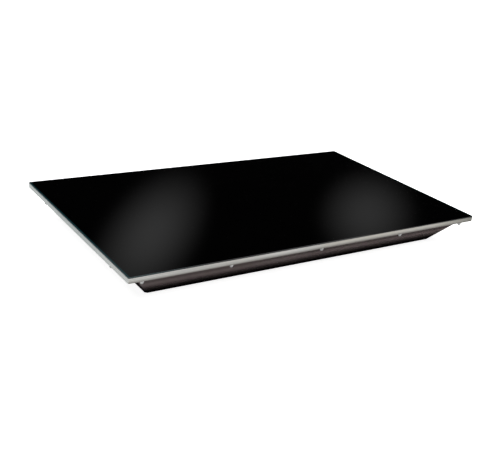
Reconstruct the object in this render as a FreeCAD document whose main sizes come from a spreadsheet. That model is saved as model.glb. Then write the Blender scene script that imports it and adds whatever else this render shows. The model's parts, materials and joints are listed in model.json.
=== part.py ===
"""Electric food warmer tray: a heated black glass top in a metal rim, over a flared sheet pan.

Frame: millimetres, +Z up, +X along the width, +Y towards the rear, where the controls are. The
origin is the centre of the underside of the pan, on which the tray stands.
"""
import FreeCAD, Part
import math
import os

import Sketcher
from FreeCAD import Placement, Rotation, Vector

UP = Vector(0, 0, 1)
REAR = Vector(0, 1, 0)
RIGHT = Vector(1, 0, 0)
NEAR = 0.01  # two places closer than this are the same place

SIZES = (
    # overall
    ("rim_width", 914, "rim, left to right"),
    ("rim_depth", 541, "rim, front to rear"),
    ("tray_height", 77, "underside of the pan to the top of the glass"),
    # rim frame, glass and seals
    ("band_height", 10.6, "upright band of the rim frame"),
    ("rim_sheet", 1.5, "sheet of the rim frame"),
    ("rim_corner", 3.5, "outer corner radius of the rim frame"),
    ("rim_edge", 0.5, "rounded outer edges of the band"),
    ("ledge_width", 26, "rim's outer face to the inner edge of its ledge"),
    ("glass_thickness", 6, "glass plate"),
    ("glass_lip", 2.4, "lip of the glass, which covers the top of the band"),
    ("glass_gap", 1.5, "gap between glass and band under the lip, filled by the bead"),
    ("glass_corner", 2, "corner radius of the glass under the lip"),
    ("glass_arris", 0.6, "ground arris along the edges of the glass"),
    ("gasket_width", 12, "strip that carries the glass"),
    # studs with their washers and cap nuts
    ("stud_inset", 10.5, "rim's long face to its row of studs"),
    ("stud_end_inset", 9, "rim's end face to its studs"),
    ("stud_pitch", 228, "from stud to stud on the long sides"),
    ("stud_outer", 33, "rim's end face to the last stud of a long side"),
    ("stud_end_offset", 93.5, "rim's long face to the studs of a short side"),
    ("stud_radius", 2.5, "M5 weld stud"),
    ("stud_length", 8.5, "stud under the ledge"),
    ("thread_play", 0.05, "radial play between a stud or screw and its nut"),
    ("stud_hole_radius", 2.9, "hole for a stud in the flange of the pan"),
    ("washer_radius", 5, "washer"),
    ("washer_sheet", 1, "thickness of the washer"),
    ("nut_flats", 8, "cap nut across its flats"),
    ("nut_hex_height", 4, "hexagon of the cap nut"),
    ("nut_height", 8.5, "cap nut in all"),
    ("nut_dome_radius", 3.7, "dome of the cap nut"),
    ("nut_bore_depth", 6.8, "blind thread of the cap nut"),
    # lower pan
    ("pan_sheet", 1, "sheet of the pan"),
    ("flange_setback", 3.5, "rim's outer face to the edge of the pan's flange"),
    ("pan_top_inset_x", 15, "rim's end face to the pan's end wall, at the flange"),
    ("pan_top_inset_y", 16, "rim's long face to the pan's long wall, at the flange"),
    ("pan_foot_inset_x", 71, "rim's end face to the end of the pan's floor"),
    ("pan_foot_inset_y", 65.9, "rim's long face to the long edge of the pan's floor"),
    ("pan_top_facet", 5.5, "cut corner of the pan at the flange"),
    ("pan_foot_facet", 4.5, "cut corner of the pan's floor"),
    ("flange_corner", 3, "corner radius of the flange"),
    ("fold_radius", 1.8, "outer radius of the pan's folds"),
    # heater and insulation
    ("heater_inset", 45, "rim's outer face to the edge of the heater foil"),
    ("foil_thickness", 0.4, "heater foil under the glass"),
    ("foil_corner", 6, "corner radius of the foil"),
    ("cable_radius", 1.3, "heating cable"),
    ("cable_runs", 28, "runs of the cable, an even number"),
    ("cable_side_gap", 34, "edge of the foil to the outer runs of the cable"),
    ("cable_turn_flat", 0.01, "straight left in the middle of each turn of the cable"),
    ("cable_edge_gap", 24, "edge of the foil to the turns of the cable"),
    ("lead_radius", 1.2, "insulated lead of the heater"),
    ("lead_edge_gap", 9.5, "rear edge of the foil to the leads"),
    ("lead_bend", 5, "bend radius of the leads"),
    ("lead_rise", 13, "terminal block to the lead that comes down to it"),
    ("lead_aside", 8, "limiter's axis to the lead beside its capillary"),
    ("blanket_inset", 50, "rim's outer face to the insulation"),
    ("notch_depth", 16, "insulation cut back behind the controls"),
    ("notch_margin", 5, "notch past each side of the control bay"),
    ("bulb_groove", 5.4, "width of the groove for a sensing bulb"),
    ("plate_sheet", 0.8, "sheet that holds the insulation up"),
    ("plate_height", 32, "underside of that sheet over the ground"),
    ("channel_top", 26, "width of a channel's top"),
    ("channel_foot", 13, "width of each foot of a channel"),
    ("channel_inset", 111.3, "end of the pan's floor to the middle of an outer channel"),
    ("channel_end_gap", 8, "end of a channel to the pan's wall"),
    ("tapping_radius", 1.8, "self-tapping screw of the retainer plate"),
    ("tapping_length", 8, "its shank"),
    ("tapping_head", 3.6, "radius of its head"),
    ("tapping_head_height", 2.2, "height of its head"),
    ("tapping_offset", 46.6, "end of a channel to its outer screws"),
    # control bay and its panel
    ("bay_left", 24, "tray's centre to the near cheek of the bay"),
    ("bay_floor", 4.5, "underside of the bay over the ground"),
    ("bay_lip", 9, "lip of each cheek behind the panel"),
    ("bay_margin", 2, "body of the limiter to the lip of the far cheek"),
    ("bay_top_gap", 0.58, "panel's top edge to the pan's wall"),
    ("panel_setback", 20, "rim's rear face to the face of the panel"),
    ("panel_sheet", 1.2, "control panel"),
    ("panel_corner", 2, "corner radius of the panel"),
    ("vent_slots", 7, "slots in the floor of the bay"),
    ("vent_pitch", 16, "from slot to slot"),
    ("vent_inset", 7, "panel to the slots"),
    ("vent_width", 3, "width of a slot"),
    ("vent_length", 20, "length of a slot"),
    ("panel_screw_radius", 1.5, "M3 panel screw"),
    ("panel_screw_length", 6, "its shank"),
    ("panel_screw_head", 2.9, "radius of its head"),
    ("panel_screw_head_height", 1.8, "height of its head"),
    ("panel_screw_edge", 4.5, "side edge of the panel to its screws"),
    ("panel_screw_margin", 7, "lower and upper edge of the panel to its screws"),
    # thermostat, knob and dial
    ("thermostat_place", 10.25, "bezel of the switch to the dial plate"),
    ("thermostat_width", 44, "body of the thermostat"),
    ("thermostat_tall", 37, "body of the thermostat"),
    ("thermostat_deep", 24, "body of the thermostat"),
    ("bushing_radius", 4.5, "threaded bushing of thermostat and limiter"),
    ("thermostat_bushing", 4.6, "its length in front of the thermostat's body"),
    ("control_nut_flats", 12, "nut of a bushing across its flats"),
    ("control_nut_height", 2.3, "thickness of that nut"),
    ("hole_play", 0.05, "radial play of a bushing or shank in its hole"),
    ("shaft_radius", 3, "thermostat shaft"),
    ("shaft_length", 33.5, "thermostat shaft"),
    ("shaft_depth", 20, "shaft inside the thermostat's body"),
    ("running_play", 0.05, "radial play of what turns or slides"),
    ("dial_radius", 24, "dial plate"),
    ("dial_sheet", 0.5, "dial plate"),
    ("knob_gap", 0.7, "dial plate to the knob"),
    ("knob_radius", 20, "skirt of the knob"),
    ("knob_skirt", 2.4, "thickness of the skirt at the grip"),
    ("knob_skirt_edge", 1.44, "thickness of the skirt at its edge"),
    ("knob_grip_radius", 15.5, "grip of the knob at the skirt"),
    ("knob_face_radius", 14.3, "face of the knob"),
    ("knob_height", 15, "knob in all"),
    ("knob_bevel", 0.9, "bevel round the face of the knob"),
    ("knob_recess_radius", 8.5, "recess over the thermostat's nut"),
    ("knob_recess", 3.4, "depth of that recess"),
    ("knob_flutes", 16, "finger flutes round the grip"),
    ("knob_flute_radius", 1.8, "radius of a flute"),
    ("knob_flute_offset", 0.81, "centre of a flute outside the grip"),
    ("pointer_width", 1.8, "pointer in the knob's face"),
    ("pointer_length", 10, "pointer in the knob's face"),
    ("pointer_depth", 0.8, "pointer let into the face"),
    ("pointer_proud", 0.3, "pointer over the face"),
    # rocker switch
    ("rocker_place", 19.25, "gland to the bezel of the switch"),
    ("switch_width", 21.9, "switch body in the panel"),
    ("switch_tall", 28.4, "switch body in the panel"),
    ("switch_deep", 22, "switch body behind the panel"),
    ("bezel_width", 25.5, "bezel of the switch"),
    ("bezel_tall", 31.5, "bezel of the switch"),
    ("bezel_sheet", 2.2, "thickness of the bezel"),
    ("well_width", 17.2, "opening for the rocker"),
    ("well_tall", 24.4, "opening for the rocker"),
    ("well_depth", 7, "face of the bezel to the bottom of the opening"),
    ("rocker_side_gap", 0.4, "rocker to each side of its opening"),
    ("rocker_half_length", 11, "pivot to the end of the rocker"),
    ("rocker_crest", 4.2, "pivot to the raised ends of the rocker"),
    ("rocker_valley", 2.2, "pivot to the middle of the rocker's face"),
    ("rocker_keel", 3, "pivot to the underside of the rocker"),
    ("rocker_keel_half", 3.3, "pivot to either end of the flat underside"),
    ("rocker_heel", 0.75, "pivot's level to the lower corners of the rocker's ends"),
    ("rocker_undercut", 0.55, "how far those corners lie inside the ends"),
    ("rocker_tilt", 10, "degrees that the rocker leans either way"),
    ("pivot_sink", 1.7, "face of the bezel to the pivot"),
    ("pin_radius", 1, "pivot pin"),
    ("pin_length", 20.8, "pivot pin"),
    # high limit with its reset button
    ("limiter_place", 4, "dial plate to the body of the limiter"),
    ("limiter_side", 26, "body of the limiter, square"),
    ("limiter_deep", 22, "body of the limiter"),
    ("limiter_bushing", 7, "its length in front of the limiter's body"),
    ("button_radius", 2.2, "reset button"),
    ("button_proud", 2.5, "button over its bushing"),
    ("button_travel", 2, "travel of the button"),
    ("button_collar_radius", 3.3, "collar that keeps the button in"),
    ("button_collar", 1.2, "thickness of that collar"),
    ("button_chamber_radius", 3.7, "chamber behind the bushing"),
    ("button_chamber_start", 3, "front of the limiter's body to the chamber"),
    ("spring_block", 7.7, "room behind the button's collar at the end of its travel"),
    ("collar_gap", 0.1, "collar to the front of its chamber"),
    ("spring_wire", 0.3, "radius of the spring's wire"),
    ("spring_radius", 2.6, "mean radius of the spring"),
    ("spring_turns", 5, "turns of the spring"),
    # sensing bulbs and their capillaries
    ("bulb_radius", 2.5, "sensing bulb"),
    ("bulb_length", 80, "sensing bulb"),
    ("bulb_rear", 70.5, "rear edge of the insulation to the bulb's near end"),
    ("bulb_seat_gap", 0.05, "bulb over the floor of its groove"),
    ("capillary_radius", 0.8, "capillary tube"),
    ("capillary_bend", 7, "bend radius of a capillary"),
    # cord gland
    ("gland_place", 3, "lip of the near cheek to the gland"),
    ("gland_height", 17.5, "axis of the gland over the underside of the bay"),
    ("gland_thread_radius", 8, "thread of the gland"),
    ("gland_thread", 9, "thread behind the panel's face"),
    ("gland_flats", 20, "gland's hexagons across their flats"),
    ("gland_collar", 5, "hexagon of the gland's body"),
    ("gland_dome", 10, "dome nut"),
    ("gland_dome_radius", 9.6, "dome nut, round part"),
    ("gland_spigot", 5.5, "part of the gland's body in the dome nut"),
    ("gland_locknut", 4, "locknut behind the panel"),
    ("gland_bore_radius", 6, "bore of the gland's body"),
    ("cord_bore_radius", 4.2, "bore that a cord passes"),
    ("seal_length", 10, "rubber seal in the gland"),
    # terminal block, earth and wiring
    ("block_width", 42, "terminal block"),
    ("block_deep", 20, "terminal block"),
    ("block_tall", 14, "terminal block"),
    ("block_place", 21, "near cheek of the bay to the block"),
    ("block_rear", 11.6, "rear edge of the pan's floor to the block"),
    ("way_pitch", 14, "from way to way of the block"),
    ("way_offset", 5, "block's centre line to its screws and to its wires"),
    ("way_radius", 3, "screw well of the block"),
    ("way_depth", 6, "screw well of the block"),
    ("clamp_screw_radius", 2.6, "clamping screw"),
    ("clamp_screw_height", 3.4, "clamping screw"),
    ("earth_place", 37, "terminal block to the earth stud"),
    ("earth_radius", 2, "M4 earth stud"),
    ("earth_height", 13, "earth stud over the pan's floor"),
    ("earth_nut_flats", 7, "nut of the earth stud"),
    ("earth_nut_height", 3.2, "nut of the earth stud"),
    ("wire_radius", 1.1, "insulated wire"),
    ("wire_bend", 3.75, "bend radius of the wiring"),
    ("wire_spread", 5, "wires to either side of the middle of a control"),
    ("wire_rise", 8, "terminal block to the wires over it"),
)

LEVELS = (
    ("half_width", "Size.rim_width / 2"),
    ("half_depth", "Size.rim_depth / 2"),
    ("glass_under", "Size.tray_height - Size.glass_thickness"),
    ("band_top", "Size.tray_height - Size.glass_lip"),
    ("ledge_under", "Level.band_top - Size.band_height"),
    ("ledge_top", "Level.ledge_under + Size.rim_sheet"),
    ("flange_under", "Level.ledge_under - Size.pan_sheet"),
    ("glass_inset", "Size.rim_sheet + Size.glass_gap"),
    # the pan's walls: run outwards per millimetre of rise, and what one sheet takes off level
    ("lean_x", "(Size.pan_foot_inset_x - Size.pan_top_inset_x) / Level.flange_under"),
    ("lean_y", "(Size.pan_foot_inset_y - Size.pan_top_inset_y) / Level.flange_under"),
    ("facet_growth", "(Size.pan_top_facet - Size.pan_foot_facet) / Level.flange_under"),
    ("lean_facet", "(Level.lean_x + Level.lean_y - Level.facet_growth) / sqrt(2)"),
    ("wall_x", "Size.pan_sheet * sqrt(1 + Level.lean_x ^ 2)"),
    ("wall_y", "Size.pan_sheet * sqrt(1 + Level.lean_y ^ 2)"),
    ("wall_facet", "Size.pan_sheet * sqrt(2 + 2 * Level.lean_facet ^ 2)"),
    ("floor_half_x", "Level.half_width - Size.pan_foot_inset_x"),
    ("floor_half_y", "Level.half_depth - Size.pan_foot_inset_y"),
    ("stud_outer_x", "Level.half_width - Size.stud_outer"),
    ("stud_end_y", "Level.half_depth - Size.stud_end_offset"),
    ("foil_under", "Level.glass_under - Size.foil_thickness"),
    ("cable_half", "Level.half_width - Size.heater_inset - Size.cable_side_gap"),
    ("cable_pitch", "2 * Level.cable_half / (Size.cable_runs - 1)"),
    ("cable_axis", "Level.foil_under - Size.cable_radius"),
    ("blanket_top", "Level.cable_axis - Size.cable_radius"),
    ("blanket_under", "Size.plate_height + Size.plate_sheet"),
    ("blanket_half_x", "Level.half_width - Size.blanket_inset"),
    ("blanket_half_y", "Level.half_depth - Size.blanket_inset"),
    ("bulb_axis", "Level.blanket_top - Size.bulb_radius - Size.bulb_seat_gap"),
    ("bulb_end", "Level.blanket_half_y - Size.bulb_rear"),
    ("lead_line", "Level.half_depth - Size.heater_inset - Size.lead_edge_gap"),
    ("channel_x", "Level.floor_half_x - Size.channel_inset"),
    ("channel_half", "Level.floor_half_y - Size.channel_end_gap"),
    ("tapping_y", "Level.channel_half - Size.tapping_offset"),
    ("panel_face", "Level.half_depth - Size.panel_setback"),
    ("panel_back", "Level.panel_face - Size.panel_sheet"),
    # from the near cheek: gland, switch, thermostat with its dial, limiter and the far cheek
    ("gland_x", "Size.bay_left + Size.bay_lip + Size.gland_place + Size.gland_flats / 2"),
    ("rocker_x", "Level.gland_x + Size.gland_flats / 2 + Size.rocker_place + Size.bezel_width / 2"),
    ("thermostat_x", "Level.rocker_x + Size.bezel_width / 2 + Size.thermostat_place"
                     " + Size.dial_radius"),
    ("limiter_x", "Level.thermostat_x + Size.dial_radius + Size.limiter_place"
                  " + Size.limiter_side / 2"),
    ("bay_right", "Level.limiter_x + Size.limiter_side / 2 + Size.bay_margin + Size.bay_lip"),
    ("bay_width", "Level.bay_right - Size.bay_left"),
    # blocks that cut the rear wall start here, well inside the pan
    ("bay_inner", "Level.half_depth - 2 * Size.pan_foot_inset_y"),
    # the panel ends where the leaning wall would cut it
    ("bay_top", "(Size.pan_foot_inset_y - Size.panel_setback - Size.panel_sheet) / Level.lean_y"
                " - Size.bay_top_gap"),
    ("panel_height", "Level.bay_top - Size.bay_floor"),
    ("controls_z", "(Level.bay_top + Size.bay_floor) / 2"),
    ("panel_centre", "Size.bay_left + Level.bay_width / 2"),
    ("gland_z", "Size.bay_floor + Size.gland_height"),
    ("block_x", "Size.bay_left + Size.block_place + Size.block_width / 2"),
    ("block_y", "Level.floor_half_y - Size.block_rear - Size.block_deep / 2"),
    ("earth_x", "Level.block_x + Size.block_width / 2 + Size.earth_place"),
    ("dial_face", "Level.panel_face + Size.dial_sheet"),
    ("knob_seat", "Level.dial_face + Size.knob_gap"),
    ("bezel_face", "Level.panel_face + Size.bezel_sheet"),
    ("pivot_y", "Level.bezel_face - Size.pivot_sink"),
    ("chamber_front", "Level.panel_back - Size.button_chamber_start"),
    ("chamber_depth", "Size.collar_gap + Size.button_collar + Size.button_travel"
                      " + Size.spring_block"),
    ("chamber_back", "Level.chamber_front - Level.chamber_depth"),
    ("collar_front", "Level.chamber_front - Size.collar_gap"),
    ("pan_floor", "Size.pan_sheet"),
    ("block_top", "Level.pan_floor + Size.block_tall"),
)

doc = FreeCAD.newDocument("food_warmer_tray")
subparts = []


# ---------------------------------------------------------------- sheets and bindings

def fill_sheet(name, rows):
    """Write rows of alias, content and an optional note into a new sheet."""
    sheet = doc.addObject("Spreadsheet::Sheet", name)
    for line, (alias, content, *note) in enumerate(rows, start=1):
        sheet.set(f"A{line}", "'" + (note[0] if note else alias))
        sheet.set(f"B{line}", str(content))
        sheet.setAlias(f"B{line}", alias)
    return sheet


size = fill_sheet("Size", SIZES)
level = fill_sheet("Level", [(alias, "=" + formula) for alias, formula in LEVELS])
doc.recompute()


def number(expression):
    """Value of an expression over the two sheets."""
    return float(size.evalExpression(str(expression)))


def bind(thing, **properties):
    """Bind properties of an object to expressions over the sheets."""
    for name, expression in properties.items():
        thing.setExpression(name, str(expression))
    return thing


def place(thing, x="0", y="0", z="0"):
    """Bind the place of an object."""
    for axis, expression in (("x", x), ("y", y), ("z", z)):
        thing.setExpression(f"Placement.Base.{axis}", str(expression))
    return thing


def aim(thing, direction):
    """Turn an object's own +Z to a direction."""
    thing.Placement = Placement(Vector(), Rotation(UP, direction))
    return thing


def subpart(thing, label):
    """Name a finished sub-part and list it for export."""
    thing.Label = label
    subparts.append(thing)
    return thing


# ---------------------------------------------------------------- solids and booleans

def box(name, x, y, z):
    """Box between bounds, each axis given as a pair of expressions (low, high)."""
    solid = doc.addObject("Part::Box", name)
    bind(solid, Length=f"({x[1]}) - ({x[0]})", Width=f"({y[1]}) - ({y[0]})",
         Height=f"({z[1]}) - ({z[0]})")
    return place(solid, x[0], y[0], z[0])


def block(name, x, y, z, length, width, height):
    """Box centred on x and y, standing on z."""
    return box(name, (f"{x} - ({length}) / 2", f"{x} + ({length}) / 2"),
               (f"{y} - ({width}) / 2", f"{y} + ({width}) / 2"), (z, f"{z} + ({height})"))


def rod(name, radius, length, x="0", y="0", z="0", direction=UP):
    """Cylinder from a point along a direction."""
    solid = aim(doc.addObject("Part::Cylinder", name), direction)
    bind(solid, Radius=radius, Height=length)
    return place(solid, x, y, z)


def hexagon(name, flats, height, x="0", y="0", z="0", direction=UP):
    """Hexagonal prism from a point along a direction."""
    solid = aim(doc.addObject("Part::Prism", name), direction)
    solid.Polygon = 6
    bind(solid, Circumradius=f"({flats}) / sqrt(3)", Height=height)
    return place(solid, x, y, z)


def ball(name, radius, x="0", y="0", z="0"):
    """Sphere round a point."""
    solid = doc.addObject("Part::Sphere", name)
    bind(solid, Radius=radius)
    return place(solid, x, y, z)


def group(name, members):
    """Compound of separate solids."""
    compound = doc.addObject("Part::Compound", name)
    compound.Links = members
    return compound


def fuse(name, *members):
    """One solid from several."""
    solid = doc.addObject("Part::MultiFuse", name)
    solid.Shapes = list(members)
    solid.Refine = True
    return solid


def cut(name, base, *tools):
    """A solid less its tools."""
    solid = doc.addObject("Part::Cut", name)
    solid.Base = base
    solid.Tool = tools[0] if len(tools) == 1 else group(name + "_tools", list(tools))
    return solid


def copies(name, master, places):
    """Compound of links to one master, at a list of (x, y) or (x, y, z) expressions."""
    links = []
    for index, spot in enumerate(places):
        link = doc.addObject("App::Link", f"{name}_{index + 1}")
        link.LinkedObject = master
        link.LinkTransform = True
        links.append(place(link, *spot))
    return group(name, links)


# ---------------------------------------------------------------- sketches and features

def new_sketch(body, name, plane, offset="0"):
    """Sketch on one of the body's origin planes, moved along the plane's normal."""
    sketch = body.newObject("Sketcher::SketchObject", name)
    base = next(item for item in body.Origin.OriginFeatures if item.Role == plane)
    sketch.AttachmentSupport = [(base, "")]
    sketch.MapMode = "FlatFace"
    sketch.setExpression("AttachmentOffset.Base.z", str(offset))
    return sketch


def pin(sketch, shape, point, kind, expression):
    """Hold one coordinate of a point of the sketch at an expression."""
    amount = number(expression)
    if abs(amount) < NEAR:
        # a sketch calls its own horizontal axis -1 and its vertical axis -2
        axis = -2 if kind == "DistanceX" else -1
        sketch.addConstraint(Sketcher.Constraint("PointOnObject", shape, point, axis))
        return
    if amount > 0:
        index = sketch.addConstraint(Sketcher.Constraint(kind, -1, 1, shape, point, amount))
        sketch.setExpression(f"Constraints[{index}]", expression)
    else:
        index = sketch.addConstraint(Sketcher.Constraint(kind, shape, point, -1, 1, -amount))
        sketch.setExpression(f"Constraints[{index}]", f"-({expression})")


def polygon(sketch, corners):
    """Closed outline through corners given as pairs of expressions."""
    points = [Vector(number(x), number(y), 0) for x, y in corners]
    count = len(points)
    first = sketch.GeometryCount
    for index, start in enumerate(points):
        sketch.addGeometry(Part.LineSegment(start, points[(index + 1) % count]), False)
    for index in range(count):
        following = first + (index + 1) % count
        sketch.addConstraint(Sketcher.Constraint("Coincident", first + index, 2, following, 1))
    for index, (x, y) in enumerate(corners):
        pin(sketch, first + index, 1, "DistanceX", x)
        pin(sketch, first + index, 1, "DistanceY", y)


def circle(sketch, x, y, radius):
    """Circle at a point."""
    shape = sketch.addGeometry(
        Part.Circle(Vector(number(x), number(y), 0), UP, number(radius)), False)
    pin(sketch, shape, 3, "DistanceX", x)
    pin(sketch, shape, 3, "DistanceY", y)
    index = sketch.addConstraint(Sketcher.Constraint("Radius", shape, number(radius)))
    sketch.setExpression(f"Constraints[{index}]", radius)


def rounded_rectangle(sketch, half_x, half_y, radius):
    """Rectangle round the sketch's origin with four equal corner arcs."""
    across, along, bend = number(half_x), number(half_y), number(radius)
    first = sketch.GeometryCount
    for quarter, (sign_x, sign_y) in enumerate(((1, 1), (-1, 1), (-1, -1), (1, -1))):
        centre = Vector(sign_x * (across - bend), sign_y * (along - bend), 0)
        start = quarter * math.pi / 2
        arc = Part.ArcOfCircle(Part.Circle(centre, UP, bend), start, start + math.pi / 2)
        sketch.addGeometry(arc, False)
        end = centre + Vector(math.cos(start + math.pi / 2), math.sin(start + math.pi / 2), 0) * bend
        run = Vector(-math.sin(start + math.pi / 2), math.cos(start + math.pi / 2), 0)
        reach = 2 * ((across if quarter % 2 == 0 else along) - bend)
        sketch.addGeometry(Part.LineSegment(end, end + run * reach), False)
    for quarter in range(4):
        arc = first + 2 * quarter
        side = arc + 1
        following = first + (2 * quarter + 2) % 8
        sketch.addConstraint(Sketcher.Constraint("Tangent", arc, 2, side, 1))
        sketch.addConstraint(Sketcher.Constraint("Tangent", side, 2, following, 1))
        kind = "Horizontal" if quarter % 2 == 0 else "Vertical"
        sketch.addConstraint(Sketcher.Constraint(kind, side))
        if quarter:
            sketch.addConstraint(Sketcher.Constraint("Equal", first, arc))
    sketch.addConstraint(Sketcher.Constraint("Symmetric", first, 3, first + 4, 3, -1, 1))
    index = sketch.addConstraint(Sketcher.Constraint("Radius", first, bend))
    sketch.setExpression(f"Constraints[{index}]", radius)
    pin(sketch, first + 7, 1, "DistanceX", half_x)
    pin(sketch, first + 1, 1, "DistanceY", half_y)


def new_body(name):
    """Empty body."""
    return doc.addObject("PartDesign::Body", name)


def pad(body, name, sketch, length):
    """Pad along the sketch's normal."""
    feature = body.newObject("PartDesign::Pad", name)
    feature.Profile = sketch
    return bind(feature, Length=length)


def pocket(body, name, sketch, depth):
    """Pocket against the sketch's normal."""
    feature = body.newObject("PartDesign::Pocket", name)
    feature.Profile = sketch
    return bind(feature, Length=depth)


def is_level(edge):
    """Whether an edge lies at one height."""
    return edge.BoundBox.ZLength < NEAR


def touches(edge, feature, faces):
    """Whether an edge belongs to one of the feature's named faces."""
    return any(edge.isSame(side) for name in faces
               for side in feature.Shape.getElement(name).Edges)


def edges_of(feature, wanted):
    """Names of the feature's edges for which a test holds."""
    return [f"Edge{index}" for index, edge in enumerate(feature.Shape.Edges, start=1)
            if wanted(edge)]


def flat_ring(label, outer, inner, corner, z, height):
    """Flat ring of a given height between two insets from the rim's outer face."""
    body = new_body(label)
    sketch = new_sketch(body, label + "_outline", "XY_Plane", z)
    for inset in (outer, inner):
        rounded_rectangle(sketch, f"Level.half_width - ({inset})", f"Level.half_depth - ({inset})",
                          corner)
    pad(body, label + "_pad", sketch, height)
    return subpart(body, label)


def bent_path(points, bend):
    """Wire of straight runs through points, joined by tangent arcs of one radius."""
    knots = [Vector(*(number(value) for value in point)) for point in points]
    radius = number(bend)
    edges = []
    start = knots[0]
    for before, corner, after in zip(knots, knots[1:], knots[2:]):
        inward = (corner - before).normalize()
        outward = (after - corner).normalize()
        turn = inward.getAngle(outward)
        setback = radius * math.tan(turn / 2)
        enter = corner - inward * setback
        leave = corner + outward * setback
        bisector = (outward - inward).normalize()
        centre = corner + bisector * (radius / math.cos(turn / 2))
        edges.append(Part.LineSegment(start, enter).toShape())
        edges.append(Part.Arc(enter, centre - bisector * radius, leave).toShape())
        start = leave
    edges.append(Part.LineSegment(start, knots[-1]).toShape())
    return Part.Wire(edges)


def tube(name, points, radius, bend):
    """Round solid along a bent path, with its placement at the origin."""
    path = bent_path(points, bend)
    edge = path.Edges[0]
    section = Part.Wire(Part.Circle(edge.valueAt(edge.FirstParameter),
                                    edge.tangentAt(edge.FirstParameter), number(radius)).toShape())
    solid = doc.addObject("Part::Feature", name)
    solid.Shape = path.makePipeShell([section], True, False)
    solid.Placement = Placement()
    return solid


# ---------------------------------------------------------------- glass, seals and rim

def make_glass_top():
    """Glass plate with ground edges and a stepped rim, whose lip covers the top of the band."""
    body = new_body("glass_body")
    outline = new_sketch(body, "glass_outline", "XY_Plane", "Level.glass_under")
    rounded_rectangle(outline, "Level.half_width - Level.glass_inset",
                      "Level.half_depth - Level.glass_inset", "Size.glass_corner")
    pad(body, "glass_plate", outline, "Size.glass_thickness")
    cover = new_sketch(body, "lip_outline", "XY_Plane", "Level.band_top")
    rounded_rectangle(cover, "Level.half_width", "Level.half_depth", "Size.rim_corner")
    plate = pad(body, "glass_cover", cover, "Size.glass_lip")
    doc.recompute()
    levels = (number("Size.tray_height"), number("Level.glass_under"))
    faces = [f"Face{index}" for index, face in enumerate(plate.Shape.Faces, start=1)
             if abs(face.normalAt(0, 0).z) > 0.9
             and min(abs(face.CenterOfMass.z - level) for level in levels) < NEAR]
    arris = body.newObject("PartDesign::Chamfer", "glass_arris")
    arris.Base = (plate, faces)
    bind(arris, Size="Size.glass_arris")
    return subpart(body, "glass_top")


def make_seals():
    """Bead round the glass, under its lip, and the gasket that carries it."""
    flat_ring("edge_seal", "Size.rim_sheet", "Level.glass_inset", "Size.glass_corner",
              "Level.glass_under", "Level.band_top - Level.glass_under")
    flat_ring("glass_gasket", "Level.glass_inset", "Level.glass_inset + Size.gasket_width",
              "Size.glass_corner", "Level.ledge_top", "Level.glass_under - Level.ledge_top")


def make_rim_frame():
    """Trim frame: an upright band with a ledge that reaches inwards under the glass."""
    body = new_body("rim_body")
    outline = new_sketch(body, "rim_outline", "XY_Plane", "Level.ledge_under")
    rounded_rectangle(outline, "Level.half_width", "Level.half_depth", "Size.rim_corner")
    pad(body, "rim_blank", outline, "Size.band_height")
    tray = new_sketch(body, "rim_inside", "XY_Plane", "Level.band_top")
    rounded_rectangle(tray, "Level.half_width - Size.rim_sheet",
                      "Level.half_depth - Size.rim_sheet", "Size.glass_corner")
    pocket(body, "rim_well", tray, "Size.band_height - Size.rim_sheet")
    window = new_sketch(body, "ledge_inside", "XY_Plane", "Level.ledge_top")
    rounded_rectangle(window, "Level.half_width - Size.ledge_width",
                      "Level.half_depth - Size.ledge_width", "Size.rim_corner")
    frame = pocket(body, "ledge_window", window, "Size.rim_sheet")
    doc.recompute()
    outer_y = number("Level.half_depth")
    outer_x = number("Level.half_width")
    faces = frame.Shape.Faces
    band = [f"Face{index}" for index, face in enumerate(faces, start=1)
            if abs(abs(face.CenterOfMass.y) - outer_y) < NEAR
            or abs(abs(face.CenterOfMass.x) - outer_x) < NEAR]
    level_edges = edges_of(frame, lambda edge: touches(edge, frame, band) and is_level(edge))
    rounding = body.newObject("PartDesign::Fillet", "rim_rounding")
    rounding.Base = (frame, level_edges)
    bind(rounding, Radius="Size.rim_edge")
    return subpart(body, "rim_frame")


def stud_places():
    """Where the studs stand: five on each long side and two on each short side."""
    side_y = "(Level.half_depth - Size.stud_inset)"
    end_x = "(Level.half_width - Size.stud_end_inset)"
    along = ("-Level.stud_outer_x", "-Size.stud_pitch", "0", "Size.stud_pitch", "Level.stud_outer_x")
    places = [(x, sign + side_y) for sign in ("-", "") for x in along]
    places += [(sign + end_x, y) for sign in ("-", "")
               for y in ("-Level.stud_end_y", "Level.stud_end_y")]
    return places


def make_fasteners():
    """Weld studs under the ledge, each with a washer and a cap nut that hold the pan."""
    down = Vector(0, 0, -1)
    spots = stud_places()
    stud = rod("stud_master", "Size.stud_radius", "Size.stud_length", direction=down)
    subpart(copies("rim_stud_set", stud, [(x, y, "Level.ledge_under") for x, y in spots]),
            "rim_studs")
    washer = cut("washer_master",
                 rod("washer_blank", "Size.washer_radius", "Size.washer_sheet", direction=down),
                 rod("washer_hole", "Size.stud_radius + Size.thread_play", "Size.washer_sheet",
                     direction=down))
    subpart(copies("washer_set", washer, [(x, y, "Level.flange_under") for x, y in spots]),
            "stud_washers")
    dome_start = "-(Size.nut_height - Size.nut_dome_radius)"
    nut = cut("nut_master",
              fuse("nut_blank",
                   hexagon("nut_hexagon", "Size.nut_flats", "Size.nut_hex_height",
                           direction=down),
                   rod("nut_collar", "Size.nut_dome_radius",
                       "Size.nut_height - Size.nut_dome_radius", direction=down),
                   ball("nut_dome", "Size.nut_dome_radius", z=dome_start)),
              rod("nut_bore", "Size.stud_radius + Size.thread_play", "Size.nut_bore_depth",
                  direction=down))
    subpart(copies("cap_nut_set", nut,
                   [(x, y, "Level.flange_under - Size.washer_sheet") for x, y in spots]),
            "cap_nuts")


# ---------------------------------------------------------------- lower pan

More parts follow.
